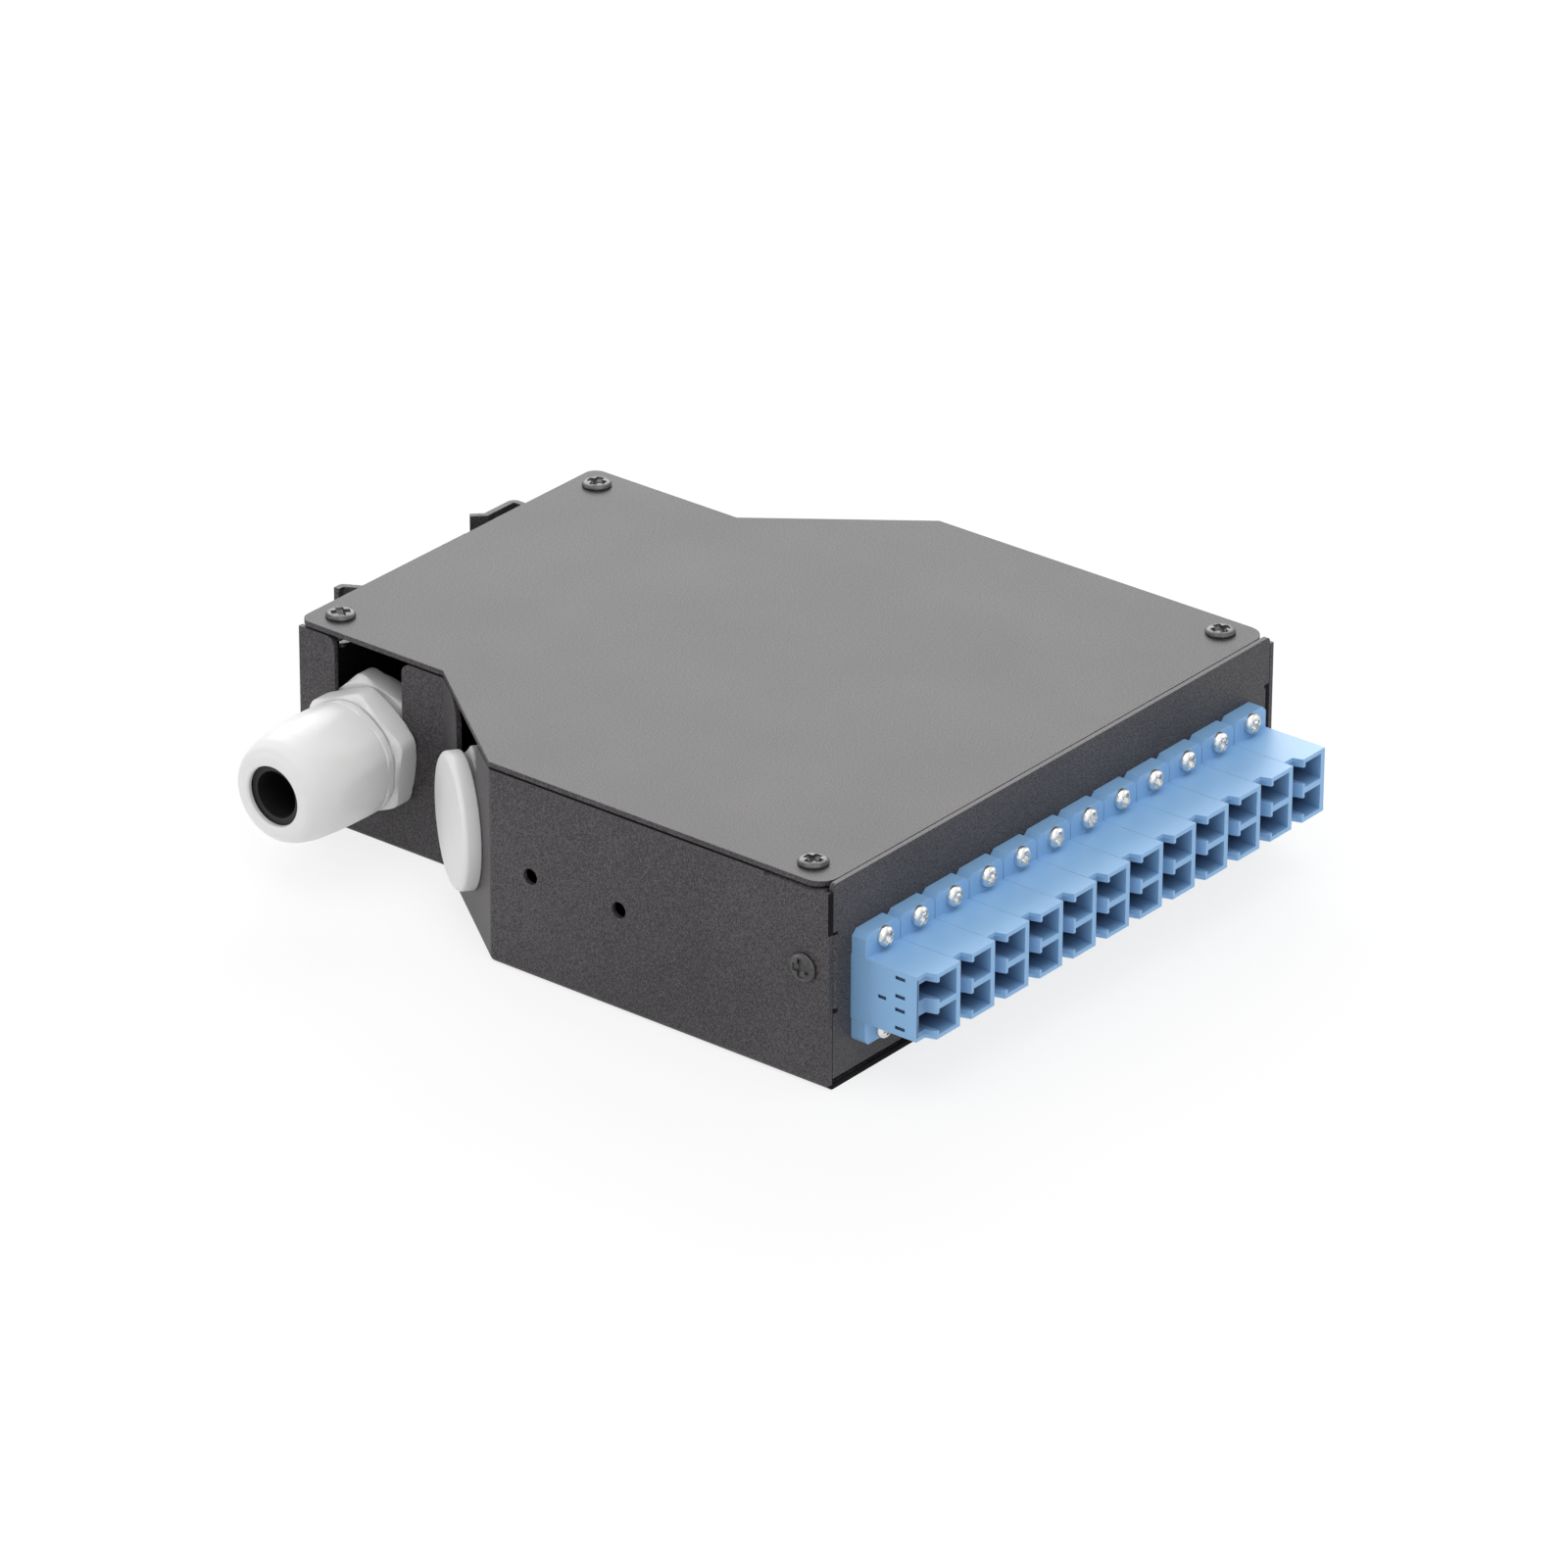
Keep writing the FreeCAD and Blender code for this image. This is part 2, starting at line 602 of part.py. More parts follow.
def make_adapter():
    """Duplex adapter at the origin: its flange stands on the XZ plane, and it looks along -Y."""
    half = FLANGE_WIDTH / 2
    tall = FLANGE_TALL / 2
    foot = FLANGE_FOOT_CHAMFER
    corners = [Vector(-half, 0, foot - tall), Vector(-half + foot, 0, -tall), Vector(half - foot, 0, -tall),
               Vector(half, 0, foot - tall), Vector(half, 0, tall - FLANGE_CHAMFER),
               Vector(half - FLANGE_CHAMFER, 0, tall), Vector(-half + FLANGE_CHAMFER, 0, tall),
               Vector(-half, 0, tall - FLANGE_CHAMFER)]
    flange = polygon_face(corners).extrude(FRONT_WAY * FLANGE_THICK)
    side = BODY_WIDTH / 2
    rise = BODY_TALL / 2
    mouth = -FLANGE_THICK - BODY_FRONT
    housing = flange.fuse(block(Vector(-side, mouth, -rise), Vector(side, BODY_REAR, rise)))

    port_tall, middles = port_middles()
    step_edge = -side + STEP_WIDTH
    main_left = step_edge + TOOTH
    step = polygon_face([Vector(-side, mouth, -rise), Vector(step_edge, mouth, -rise),
                         Vector(step_edge - STEP_SLANT, mouth + BODY_STEP, -rise),
                         Vector(-side, mouth + BODY_STEP, -rise)])
    cuts = [step.extrude(UP_WAY * BODY_TALL)]
    rear_start = BODY_REAR - REAR_PORT_DEPTH
    for middle in middles:
        for start, end in ((mouth, mouth + PORT_DEPTH), (rear_start, BODY_REAR)):
            cuts.append(block(Vector(main_left, start, middle - port_tall / 2),
                              Vector(side - PLAIN_SIDE_WALL, end, middle + port_tall / 2)))
            cuts.append(block(Vector(-side + LATCH_SIDE_WALL, start, middle - LATCH_HEIGHT / 2),
                              Vector(main_left, end, middle + LATCH_HEIGHT / 2)))
    sideways = port_axis()
    for middle in middles:
        start = Vector(sideways, mouth, middle)
        cuts.append(tiny_rod(SLEEVE_DIAMETER + 2 * THREAD_CLEARANCE, -mouth + BODY_REAR, start, BACK_WAY))
    screw_hole = SMALL_SCREW_DIAMETER + 2 * HOLE_CLEARANCE
    for height in (-SMALL_SCREW_SPACING / 2, SMALL_SCREW_SPACING / 2):
        cuts.append(tiny_rod(screw_hole, 2 * FLANGE_THICK, Vector(0, -1.5 * FLANGE_THICK, height), BACK_WAY))
    window_middle = -FLANGE_THICK - WINDOW_BACK
    for height in (-WINDOW_OUTER, -WINDOW_INNER, WINDOW_INNER, WINDOW_OUTER):
        cuts.append(block(Vector(-side, window_middle - WINDOW_LENGTH / 2, height - WINDOW_HEIGHT / 2),
                          Vector(-side + WINDOW_DEPTH, window_middle + WINDOW_LENGTH / 2,
                                 height + WINDOW_HEIGHT / 2)))
    mark = -FLANGE_THICK - MARK_BACK
    cuts.append(block(Vector(-side, mark - MARK_LENGTH / 2, -WINDOW_HEIGHT / 2),
                      Vector(-side + WINDOW_DEPTH, mark + MARK_LENGTH / 2, WINDOW_HEIGHT / 2)))
    return housing.cut(cuts)


def port_axis():
    """Sideways place of the two ferrule axes in an adapter."""
    side = BODY_WIDTH / 2
    return (-side + STEP_WIDTH + TOOTH + side - PLAIN_SIDE_WALL) / 2


def make_sleeves():
    """The two split sleeves of an adapter, at the origin like it."""
    _, middles = port_middles()
    middle_wall = -FLANGE_THICK - BODY_FRONT + PORT_DEPTH
    far_wall = BODY_REAR - REAR_PORT_DEPTH
    start = (middle_wall + far_wall - SLEEVE_LENGTH) / 2
    sleeves = []
    for middle in middles:
        seat = Vector(port_axis(), start, middle)
        outside = tiny_rod(SLEEVE_DIAMETER, SLEEVE_LENGTH, seat, BACK_WAY)
        sleeves.append(outside.cut(tiny_rod(SLEEVE_BORE, SLEEVE_LENGTH, seat, BACK_WAY)))
    return sleeves


def make_adapter_screws():
    seat = Vector(0, -FLANGE_THICK, 0)
    head = flat_sided_bar(FIXING_SIDES, SMALL_HEAD_DIAMETER, SMALL_HEAD_HEIGHT, seat, FRONT_WAY)
    screw = head.fuse(tiny_rod(SMALL_SCREW_DIAMETER, SMALL_SCREW_LENGTH, seat, BACK_WAY))
    return [screw.translated(place) for place in small_screw_places()]


def gland_axis_start():
    """Middle of the gland's notch on the wall's outer face."""
    return GLAND_WALL.point(0, ENTRY_HEIGHT)


def make_gland_body():
    start = gland_axis_start()
    collar = hex_prism(GLAND_FLATS, GLAND_HEX_LENGTH, start, LEFT_WAY, GLAND_TURN)
    radius = GLAND_FLATS / math.sqrt(3)
    edge = radius - 2 * GLAND_HEX_CHAMFER
    rounding = turned([(0, 0), (radius, 0), (radius, GLAND_HEX_LENGTH - GLAND_HEX_CHAMFER),
                       (edge, GLAND_HEX_LENGTH), (0, GLAND_HEX_LENGTH)], start, LEFT_WAY)
    collar = collar.common(rounding)
    thread = hidden_rod(ENTRY_THREAD, GLAND_THREAD_LENGTH + SHEET, start, RIGHT_WAY)
    neck_start = start + LEFT_WAY * GLAND_HEX_LENGTH
    neck = hidden_rod(NECK_DIAMETER, NECK_LENGTH, neck_start, LEFT_WAY)
    claw_bore = NECK_DIAMETER - 2 * CLAW_WALL
    seal_seat = neck_start + LEFT_WAY * (NECK_LENGTH - CLAW_LENGTH)
    body = collar.fuse([thread, neck])
    body = body.cut(hidden_bore(GLAND_BORE, 3 * CASE_HEIGHT, start + RIGHT_WAY * CASE_HEIGHT, LEFT_WAY))
    return body.cut(hidden_bore(claw_bore, CASE_HEIGHT, seal_seat, LEFT_WAY))


def seal_length():
    """The seal reaches from its seat in the neck to the lip of the dome nut."""
    return CLAW_LENGTH - NECK_LENGTH + NUT_GAP + DOME_LENGTH - DOME_LIP - HOLE_CLEARANCE


def make_gland_seal():
    """Rubber seal round the cable, squeezed between the neck and the dome nut."""
    start = gland_axis_start() + LEFT_WAY * (GLAND_HEX_LENGTH + NECK_LENGTH - CLAW_LENGTH)
    outside = NECK_DIAMETER - 2 * CLAW_WALL
    seal = hidden_rod(outside, seal_length(), start, LEFT_WAY)
    return seal.cut(rod(outside - 2 * SEAL_WALL, seal_length(), start, LEFT_WAY))


def dome_ring(radius, start):
    """Outline across the dome nut: a circle with six soft flats."""
    points = []
    for index in range(DOME_SIDES):
        angle = 360.0 * index / DOME_SIDES + DOME_TURN
        off_flat = (angle - DOME_TURN) % 60 - 30
        reach = min(radius, DOME_FLATS / 2 / math.cos(math.radians(off_flat)))
        points.append(start + BACK_WAY * (reach * math.cos(math.radians(angle)))
                      + UP_WAY * (reach * math.sin(math.radians(angle))))
    return points


def solid_of_rings(rings):
    """Closed solid through outlines that have as many points each, with flat faces between them."""
    faces = [polygon_face(rings[0]), polygon_face(rings[-1])]
    for near, far in zip(rings, rings[1:]):
        for index in range(len(near)):
            following = (index + 1) % len(near)
            faces.append(polygon_face([near[index], near[following], far[index]]))
            faces.append(polygon_face([near[following], far[following], far[index]]))
    solid = Part.makeSolid(Part.makeShell(faces))
    if solid.Volume < 0:
        solid.reverse()
    return solid


def make_gland_dome_nut():
    """Dome nut: a dome with six soft flats, a round cable hole and a cavity for neck and seal."""
    start = gland_axis_start() + LEFT_WAY * (GLAND_HEX_LENGTH + NUT_GAP)
    nose = DOME_LENGTH - DOME_NOSE_LENGTH
    outline = [(DOME_WAIST_RADIUS, 0), (DOME_WAIST_RADIUS, DOME_RING), (DOME_BASE_RADIUS, 2 * DOME_RING),
               (DOME_FRONT_RADIUS, nose), (DOME_SHOULDER_RADIUS, DOME_LENGTH - DOME_NOSE_LENGTH / 3),
               (DOME_NOSE_RADIUS, DOME_LENGTH)]
    rings = [dome_ring(radius, start + LEFT_WAY * along) for radius, along in outline]
    dome = solid_of_rings(rings)
    neck_length = NECK_LENGTH + HOLE_CLEARANCE - NUT_GAP
    neck = hidden_bore(NECK_DIAMETER + 2 * HOLE_CLEARANCE, neck_length, start, LEFT_WAY)
    outside = NECK_DIAMETER - 2 * CLAW_WALL + 2 * HOLE_CLEARANCE
    cavity = hidden_bore(outside, DOME_LENGTH - DOME_LIP, start, LEFT_WAY)
    return dome.cut([neck, cavity, rod(DOME_HOLE, DOME_LENGTH + SHEET, start, LEFT_WAY)])


def make_locknut(wall, turn):
    start = wall.point(0, ENTRY_HEIGHT, -SHEET)
    way = wall.outward * -1
    nut = hex_prism(LOCKNUT_FLATS, LOCKNUT_LENGTH, start, way, 180 - turn)
    return nut.cut(hidden_bore(ENTRY_THREAD + 2 * THREAD_CLEARANCE, LOCKNUT_LENGTH, start, way))


def make_blanking_plug():
    start = SLANT_WALL.point(0, ENTRY_HEIGHT)
    radius = PLUG_HEAD_DIAMETER / 2
    outline = [(0, 0), (radius, 0), (radius, PLUG_HEAD_HEIGHT - PLUG_EDGE_ROUND),
               (radius - PLUG_EDGE_ROUND, PLUG_HEAD_HEIGHT), (0, PLUG_HEAD_HEIGHT)]
    head = turned(outline, start, SLANT_WALL.outward)
    shank_length = PLUG_SHANK_LENGTH + SHEET
    inward = SLANT_WALL.outward * -1
    shank = hidden_rod(ENTRY_THREAD, shank_length, start, inward)
    hollow = hidden_bore(ENTRY_THREAD - 2 * PLUG_WALL, shank_length, start, inward)
    return head.fuse(shank.cut(hollow))


def slider_face():
    """Outer face of the slider, which the rail's flange rests on."""
    return REAR + CLIP_SHEET + SLIDER_GAP + CLIP_SHEET


def clip_screw_places():
    height = CLIP_SCREW_SPACING / 2
    side = RAIL_CENTRE + CLIP_SCREW_OFFSET
    return [Vector(side, REAR, MIDDLE_HEIGHT - height), Vector(side, REAR, MIDDLE_HEIGHT + height)]


def clip_rivet_places():
    left = RAIL_CENTRE - RIVET_LEFT
    right = RAIL_CENTRE - RIVET_RIGHT
    return [Vector(left, REAR, MIDDLE_HEIGHT), Vector(right, REAR, MIDDLE_HEIGHT - RIVET_OFFSET),
            Vector(right, REAR, MIDDLE_HEIGHT + RIVET_OFFSET)]


def make_clip_plate():
    """Clip plate: flat on the wall, stepped out to a seat for the rail and turned over it as a hook."""
    low = MIDDLE_HEIGHT - CLIP_TALL / 2
    seat = slider_face()
    hook_inside = seat + RAIL_FLANGE + RAIL_PLAY
    hook_outside = hook_inside + CLIP_SHEET
    rail_edge = RAIL_CENTRE + RAIL_WIDTH / 2 + RAIL_PLAY
    right = rail_edge + CLIP_SHEET
    step = right - CLIP_SEAT_WIDTH
    tip = right - HOOK_REACH
    turn = CLIP_SHEET + BEND_INSIDE
    # At a bend of 45 degrees the two faces of the sheet turn this far apart, and end this far apart
    turned_by = CLIP_SHEET * math.tan(math.pi / 8)
    ended_by = CLIP_SHEET * math.sqrt(0.5)
    outline = [(-CLIP_LEFT + RAIL_CENTRE, REAR), (step - turn, REAR), (step, seat - CLIP_SHEET),
               (right, seat - CLIP_SHEET), (right, hook_outside), (tip, hook_outside),
               (tip - HOOK_FLARE, hook_outside + HOOK_FLARE),
               (tip - HOOK_FLARE - ended_by, hook_outside + HOOK_FLARE - ended_by),
               (tip - turned_by, hook_inside), (rail_edge, hook_inside), (rail_edge, seat),
               (step - turned_by, seat), (step - turn - turned_by, REAR + CLIP_SHEET),
               (-CLIP_LEFT + RAIL_CENTRE, REAR + CLIP_SHEET)]
    corners = [Vector(across, back, low) for across, back in outline]
    radii = [0, BEND_INSIDE, 0, turn, turn, 0, 0, 0, 0, BEND_INSIDE, BEND_INSIDE, 0, 0, 0]
    plate = rounded_face(corners, radii).extrude(UP_WAY * CLIP_TALL)
    tongue = RAIL_CENTRE - TONGUE_LEFT
    plate = plate.fuse(block(Vector(tongue, REAR, MIDDLE_HEIGHT - TONGUE_WIDTH / 2),
                             Vector(tongue + CLIP_SHEET, REAR + CLIP_SHEET + TONGUE_RISE,
                                    MIDDLE_HEIGHT + TONGUE_WIDTH / 2)))
    opening = block(Vector(tongue + CLIP_SHEET, REAR - SHEET, MIDDLE_HEIGHT - TONGUE_WIDTH / 2),
                    Vector(tongue + CLIP_SHEET + TONGUE_RISE, REAR + 2 * CLIP_SHEET,
                           MIDDLE_HEIGHT + TONGUE_WIDTH / 2))
    holes = [opening]
    for place in clip_screw_places() + clip_rivet_places():
        holes.append(fixing_rod(SCREW_HOLE, 6 * SHEET, place - BACK_WAY * SHEET, BACK_WAY))
    return plate.cut(holes)


def slider_slot(place):
    """Slot that lets the slider pass a rivet over its whole travel."""
    width = RIVET_DIAMETER + 2 * HOLE_CLEARANCE
    start = place + BACK_WAY * (CLIP_SHEET / 2)
    slot = block(start + Vector(0, 0, -width / 2), start + Vector(SLIDER_TRAVEL, 3 * CLIP_SHEET, width / 2))
    ends = [rod(width, 3 * CLIP_SHEET, start + RIGHT_WAY * along, BACK_WAY) for along in (0, SLIDER_TRAVEL)]
    return slot.fuse(ends)


def make_clip_slider():
    """Sliding latch: a plate with two catches over the rail's left edge and a finger lip outside it."""
    inner = REAR + CLIP_SHEET + SLIDER_GAP
    outer = slider_face()
    low = MIDDLE_HEIGHT - CLIP_TALL / 2
    left = RAIL_CENTRE - CLIP_LEFT
    right = RAIL_CENTRE + SLIDER_RIGHT
    leg = left - CLIP_SHEET - RAIL_PLAY
    finger = outer + FINGER_RISE
    lean = math.atan2(FINGER_LEAN, FINGER_RISE)
    turned_by = CLIP_SHEET * math.tan(math.pi / 4 - lean / 2)
    outline = [(right, inner), (right, outer), (leg, outer), (leg - FINGER_LEAN, finger),
               (leg - FINGER_LEAN - FINGER_LIP, finger), (leg - FINGER_LEAN - FINGER_LIP, finger - CLIP_SHEET),
               (leg - FINGER_LEAN - turned_by, finger - CLIP_SHEET), (leg - turned_by, inner)]
    corners = [Vector(across, back, low) for across, back in outline]
    plate = rounded_face(corners, [0, 0, BEND_INSIDE, CLIP_SHEET, 0, 0, BEND_INSIDE, CLIP_SHEET])
    slider = plate.extrude(UP_WAY * CLIP_TALL)
    cuts = [slider_slot(place) for place in clip_rivet_places()]

    rail_edge = RAIL_CENTRE - RAIL_WIDTH / 2 - RAIL_PLAY
    catch_inside = outer + RAIL_FLANGE + RAIL_PLAY
    catches = []
    for height in (MIDDLE_HEIGHT - CATCH_OFFSET, MIDDLE_HEIGHT + CATCH_OFFSET):
        base = height - CATCH_WIDTH / 2
        plan = [(rail_edge - CLIP_SHEET, inner), (rail_edge, inner), (rail_edge, catch_inside),
                (rail_edge + CATCH_REACH, catch_inside),
                (rail_edge + CATCH_REACH - CLIP_SHEET, catch_inside + CLIP_SHEET),
                (rail_edge - CLIP_SHEET, catch_inside + CLIP_SHEET)]
        face = polygon_face([Vector(across, back, base) for across, back in plan])
        catches.append(face.extrude(UP_WAY * CATCH_WIDTH))
        cuts.append(block(Vector(rail_edge, inner - SHEET, base),
                          Vector(rail_edge + CATCH_REACH + 2 * RAIL_FLANGE, outer + SHEET, base + CATCH_WIDTH)))
    tongue = RAIL_CENTRE - TONGUE_LEFT
    window_left = tongue - WINDOW_MARGIN
    window_right = tongue + CLIP_SHEET + SPRING_LENGTH
    window_half = SPRING_DIAMETER / 2 + WINDOW_MARGIN
    cuts.append(block(Vector(window_left, inner - SHEET, MIDDLE_HEIGHT - window_half),
                      Vector(window_right, outer + SHEET, MIDDLE_HEIGHT + window_half)))
    slider = slider.cut(cuts)
    ear = block(Vector(window_right, outer, MIDDLE_HEIGHT - TONGUE_WIDTH / 2),
                Vector(window_right + CLIP_SHEET, REAR + CLIP_SHEET + TONGUE_RISE,
                       MIDDLE_HEIGHT + TONGUE_WIDTH / 2))
    return slider.fuse(catches + [ear]).removeSplitter()


def make_clip_spring():
    """Compression spring between the fixed tongue and the slider's ear."""
    start = RAIL_CENTRE - TONGUE_LEFT + CLIP_SHEET
    radius = (SPRING_DIAMETER - SPRING_WIRE) / 2
    length = SPRING_LENGTH - SPRING_WIRE - 2 * HOLE_CLEARANCE
    middle = Vector(start + SPRING_WIRE / 2 + HOLE_CLEARANCE,
                    REAR + CLIP_SHEET + SLIDER_GAP + SPRING_DIAMETER / 2, MIDDLE_HEIGHT)
    half = SPRING_WIRE / 2
    sections = []
    for index in range(SPRING_TURNS * SPRING_STEPS + 1):
        angle = 2 * math.pi * index / SPRING_STEPS
        outward = BACK_WAY * math.cos(angle) + UP_WAY * math.sin(angle)
        centre = middle + outward * radius + RIGHT_WAY * (length * index / SPRING_TURNS / SPRING_STEPS)
        corners = [centre + outward * half, centre + RIGHT_WAY * half, centre - outward * half,
                   centre - RIGHT_WAY * half]
        sections.append(Part.makePolygon(corners + corners[:1]))
    return Part.makeLoft(sections, True, True)


def make_clip_rivets():
    """Shoulder rivets: they hold the clip plate to the wall and guide the slider."""
    head_seat = slider_face() + SLIDER_GAP
    rivets = []
    for place in clip_rivet_places():
        inside = place - BACK_WAY * SHEET
        seat = Vector(place.x, head_seat, place.z)
        rivet = fixing_rod(RIVET_DIAMETER, head_seat - inside.y, inside, BACK_WAY)
        outer_head = round_head(RIVET_HEAD_DIAMETER, RIVET_HEAD_HEIGHT, seat, BACK_WAY)
        inner_head = fixing_rod(RIVET_HEAD_DIAMETER, RIVET_HEAD_HEIGHT, inside, FRONT_WAY)
        rivets.append(rivet.fuse([outer_head, inner_head]))
    return rivets


def make_clip_screws():
    return [sheet_screw(SCREW_LENGTH, place + BACK_WAY * CLIP_SHEET, BACK_WAY) for place in clip_screw_places()]


def make_clip_nuts():
    bore = SCREW_DIAMETER + 2 * THREAD_CLEARANCE
    nuts = []
    for place in clip_screw_places():
        start = place - BACK_WAY * SHEET
        nut = hex_prism(STANDOFF_FLATS, PRESS_NUT_LENGTH, start, FRONT_WAY)
        nuts.append(nut.cut(fixing_rod(bore, PRESS_NUT_LENGTH, start, FRONT_WAY)))
    return nuts


def tray_middle():
    bridge_front = GLAND_WALL.middle.y - BRIDGE_LENGTH / 2
    return Vector(0, bridge_front - TRAY_BRIDGE_GAP - TRAY_DEEP / 2, SHEET + TRAY_STANDOFF)


def standoff_places():
    middle = tray_middle()
    return [Vector(side * TRAY_SCREW_OFFSET, middle.y, 0) for side in (-1, 1)]


def make_splice_tray():
    """Moulded tray: rounded ends guide the fibre, and lips over the wall keep it in."""
    middle = tray_middle()

    def slab(inset, radius, tall):
        wide = TRAY_HALF_WIDTH - inset
        deep = TRAY_DEEP / 2 - inset
        corners = [middle + Vector(-wide, -deep, 0), middle + Vector(wide, -deep, 0),
                   middle + Vector(wide, deep, 0), middle + Vector(-wide, deep, 0)]
        return rounded_face(corners, [radius] * 4).extrude(UP_WAY * tall)

    tray = slab(0, TRAY_CORNER, TRAY_TALL)
    hollow = slab(TRAY_WALL, TRAY_CORNER - TRAY_WALL, TRAY_TALL)
    tray = tray.cut(hollow.translated(UP_WAY * TRAY_FLOOR))
    # The lips stand where the straight part of the wall ends
    lip_offset = TRAY_HALF_WIDTH - TRAY_CORNER - TRAY_LIP_WIDTH / 2
    lips = []
    for side in (-1, 1):
        for along in (-lip_offset, lip_offset):
            inner = side * (TRAY_DEEP / 2 - TRAY_LIP_REACH)
            outer = side * (TRAY_DEEP / 2 - TRAY_WALL / 2)
            low = middle + Vector(along - TRAY_LIP_WIDTH / 2, min(inner, outer), TRAY_TALL - TRAY_LIP_THICK)
            high = middle + Vector(along + TRAY_LIP_WIDTH / 2, max(inner, outer), TRAY_TALL)
            lips.append(block(low, high))
    holes = [fixing_rod(SCREW_HOLE, 3 * TRAY_FLOOR, Vector(place.x, place.y, middle.z - TRAY_FLOOR), UP_WAY)
             for place in standoff_places()]
    return tray.fuse(lips).cut(holes).removeSplitter()


def make_splice_comb(side):
    """Comb that holds a row of splice protectors; side is -1 in front and 1 behind."""
    middle = tray_middle()
    wide = COMB_SLOTS * COMB_PITCH + COMB_RIB
    start = middle.y + (COMB_GAP if side > 0 else -COMB_GAP - wide)
    floor = middle.z + TRAY_FLOOR
    outline = [(start, floor)]
    for index in range(COMB_SLOTS + 1):
        near = start + index * COMB_PITCH
        if index > 0:
            outline.append((near, floor + COMB_FLOOR))
        outline.append((near, floor + COMB_TALL))
        outline.append((near + COMB_RIB, floor + COMB_TALL))
        if index < COMB_SLOTS:
            outline.append((near + COMB_RIB, floor + COMB_FLOOR))
    outline.append((start + wide, floor))
    half = TRAY_SCREW_OFFSET - COMB_END_GAP
    corners = [Vector(-half, back, height) for back, height in outline]
    return polygon_face(corners).extrude(RIGHT_WAY * 2 * half)


def make_tray_standoffs():
    """Press-in standoffs: a hexagon on the base and a foot through it."""
    bore = SCREW_DIAMETER + 2 * THREAD_CLEARANCE
    posts = []
    for place in standoff_places():
        seat = place + UP_WAY * SHEET
        post = hex_prism(STANDOFF_FLATS, TRAY_STANDOFF, seat, UP_WAY)
        foot = fixing_rod(STANDOFF_FOOT - 2 * THREAD_CLEARANCE, SHEET, place, UP_WAY)
        posts.append(post.fuse(foot).cut(fixing_rod(bore, SHEET + TRAY_STANDOFF, place, UP_WAY)))
    return posts


def make_tray_screws():
    floor = tray_middle().z + TRAY_FLOOR
    return [sheet_screw(SCREW_LENGTH, Vector(place.x, place.y, floor), UP_WAY) for place in standoff_places()]


def bridge_middle():
    start = gland_axis_start()
    return Vector(start.x + SHEET + GLAND_THREAD_LENGTH + BRIDGE_IN, start.y, SHEET)


def bridge_rivet_places():
    middle = bridge_middle()
    reach = BRIDGE_LENGTH / 2 - BRIDGE_RIVET_IN
    return [Vector(middle.x, middle.y + along, 0) for along in (-reach, reach)]


def make_tie_bridge():
    """Strap raised over the base, for a cable tie round the incoming cable's strength member."""
    middle = bridge_middle()
    half = BRIDGE_LENGTH / 2
    foot = half - BRIDGE_FOOT
    top = foot - BRIDGE_SLOPE
    rise = BRIDGE_RISE
    turned_by = SHEET * math.tan(math.atan2(BRIDGE_RISE, BRIDGE_SLOPE) / 2)
    outline = [(-half, 0), (-foot, 0), (-top, rise), (top, rise), (foot, 0), (half, 0), (half, SHEET),
               (foot + turned_by, SHEET), (top + turned_by, rise + SHEET),
               (-top - turned_by, rise + SHEET), (-foot - turned_by, SHEET), (-half, SHEET)]
    corners = [middle + Vector(-BRIDGE_WIDTH / 2, along, height) for along, height in outline]
    strap = polygon_face(corners).extrude(RIGHT_WAY * BRIDGE_WIDTH)
    return strap.cut([fixing_rod(SCREW_HOLE, 3 * SHEET, place, UP_WAY) for place in bridge_rivet_places()])


def make_bridge_rivets():
    rivets = []
    for place in bridge_rivet_places():
        shank = fixing_rod(RIVET_DIAMETER, 2 * SHEET, place, UP_WAY)
        head = round_head(RIVET_HEAD_DIAMETER, RIVET_HEAD_HEIGHT, place + UP_WAY * 2 * SHEET, UP_WAY)
        rivets.append(shank.fuse(head))
    return rivets


def save(name, shapes):
    """Write one node: a single solid, or a group of like solids."""
    group = shapes if isinstance(shapes, list) else [shapes]
    solids = []
    for shape in group:
        solids += shape.Solids
    whole = solids[0] if len(solids) == 1 else Part.makeCompound(solids)
    whole.exportStep(f"parts/{name}.step")


def main():
    os.makedirs("parts", exist_ok=True)
    save("case_tray", make_case_tray())
    save("lid", make_lid())
    save("lid_screws", make_lid_screws())
    save("lid_press_nuts", make_lid_press_nuts())
    save("front_panel", make_front_panel())
    save("panel_screws", make_panel_screws())
    save("panel_press_nuts", make_panel_press_nuts())
    adapter = make_adapter()
    sleeves = make_sleeves()
    for index, place in enumerate(adapter_places()):
        save(f"adapter_{index + 1:02d}", adapter.translated(place))
        save(f"sleeves_{index + 1:02d}", [sleeve.translated(place) for sleeve in sleeves])
    save("adapter_screws", make_adapter_screws())
    save("gland_body", make_gland_body())
    save("gland_dome_nut", make_gland_dome_nut())
    save("gland_seal", make_gland_seal())
    save("gland_locknut", make_locknut(GLAND_WALL, LOCKNUT_TURN))
    save("blanking_plug", make_blanking_plug())
    save("plug_locknut", make_locknut(SLANT_WALL, LOCKNUT_TURN))
    save("clip_plate", make_clip_plate())
    save("clip_slider", make_clip_slider())
    save("clip_spring", make_clip_spring())
    save("clip_rivets", make_clip_rivets())
    save("clip_screws", make_clip_screws())
    save("clip_nuts", make_clip_nuts())
    save("splice_tray", make_splice_tray())
    save("splice_comb_front", make_splice_comb(-1))
    save("splice_comb_rear", make_splice_comb(1))
    save("tray_standoffs", make_tray_standoffs())
    save("tray_screws", make_tray_screws())
    save("tie_bridge", make_tie_bridge())
    save("bridge_rivets", make_bridge_rivets())


main()
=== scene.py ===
import json
import math

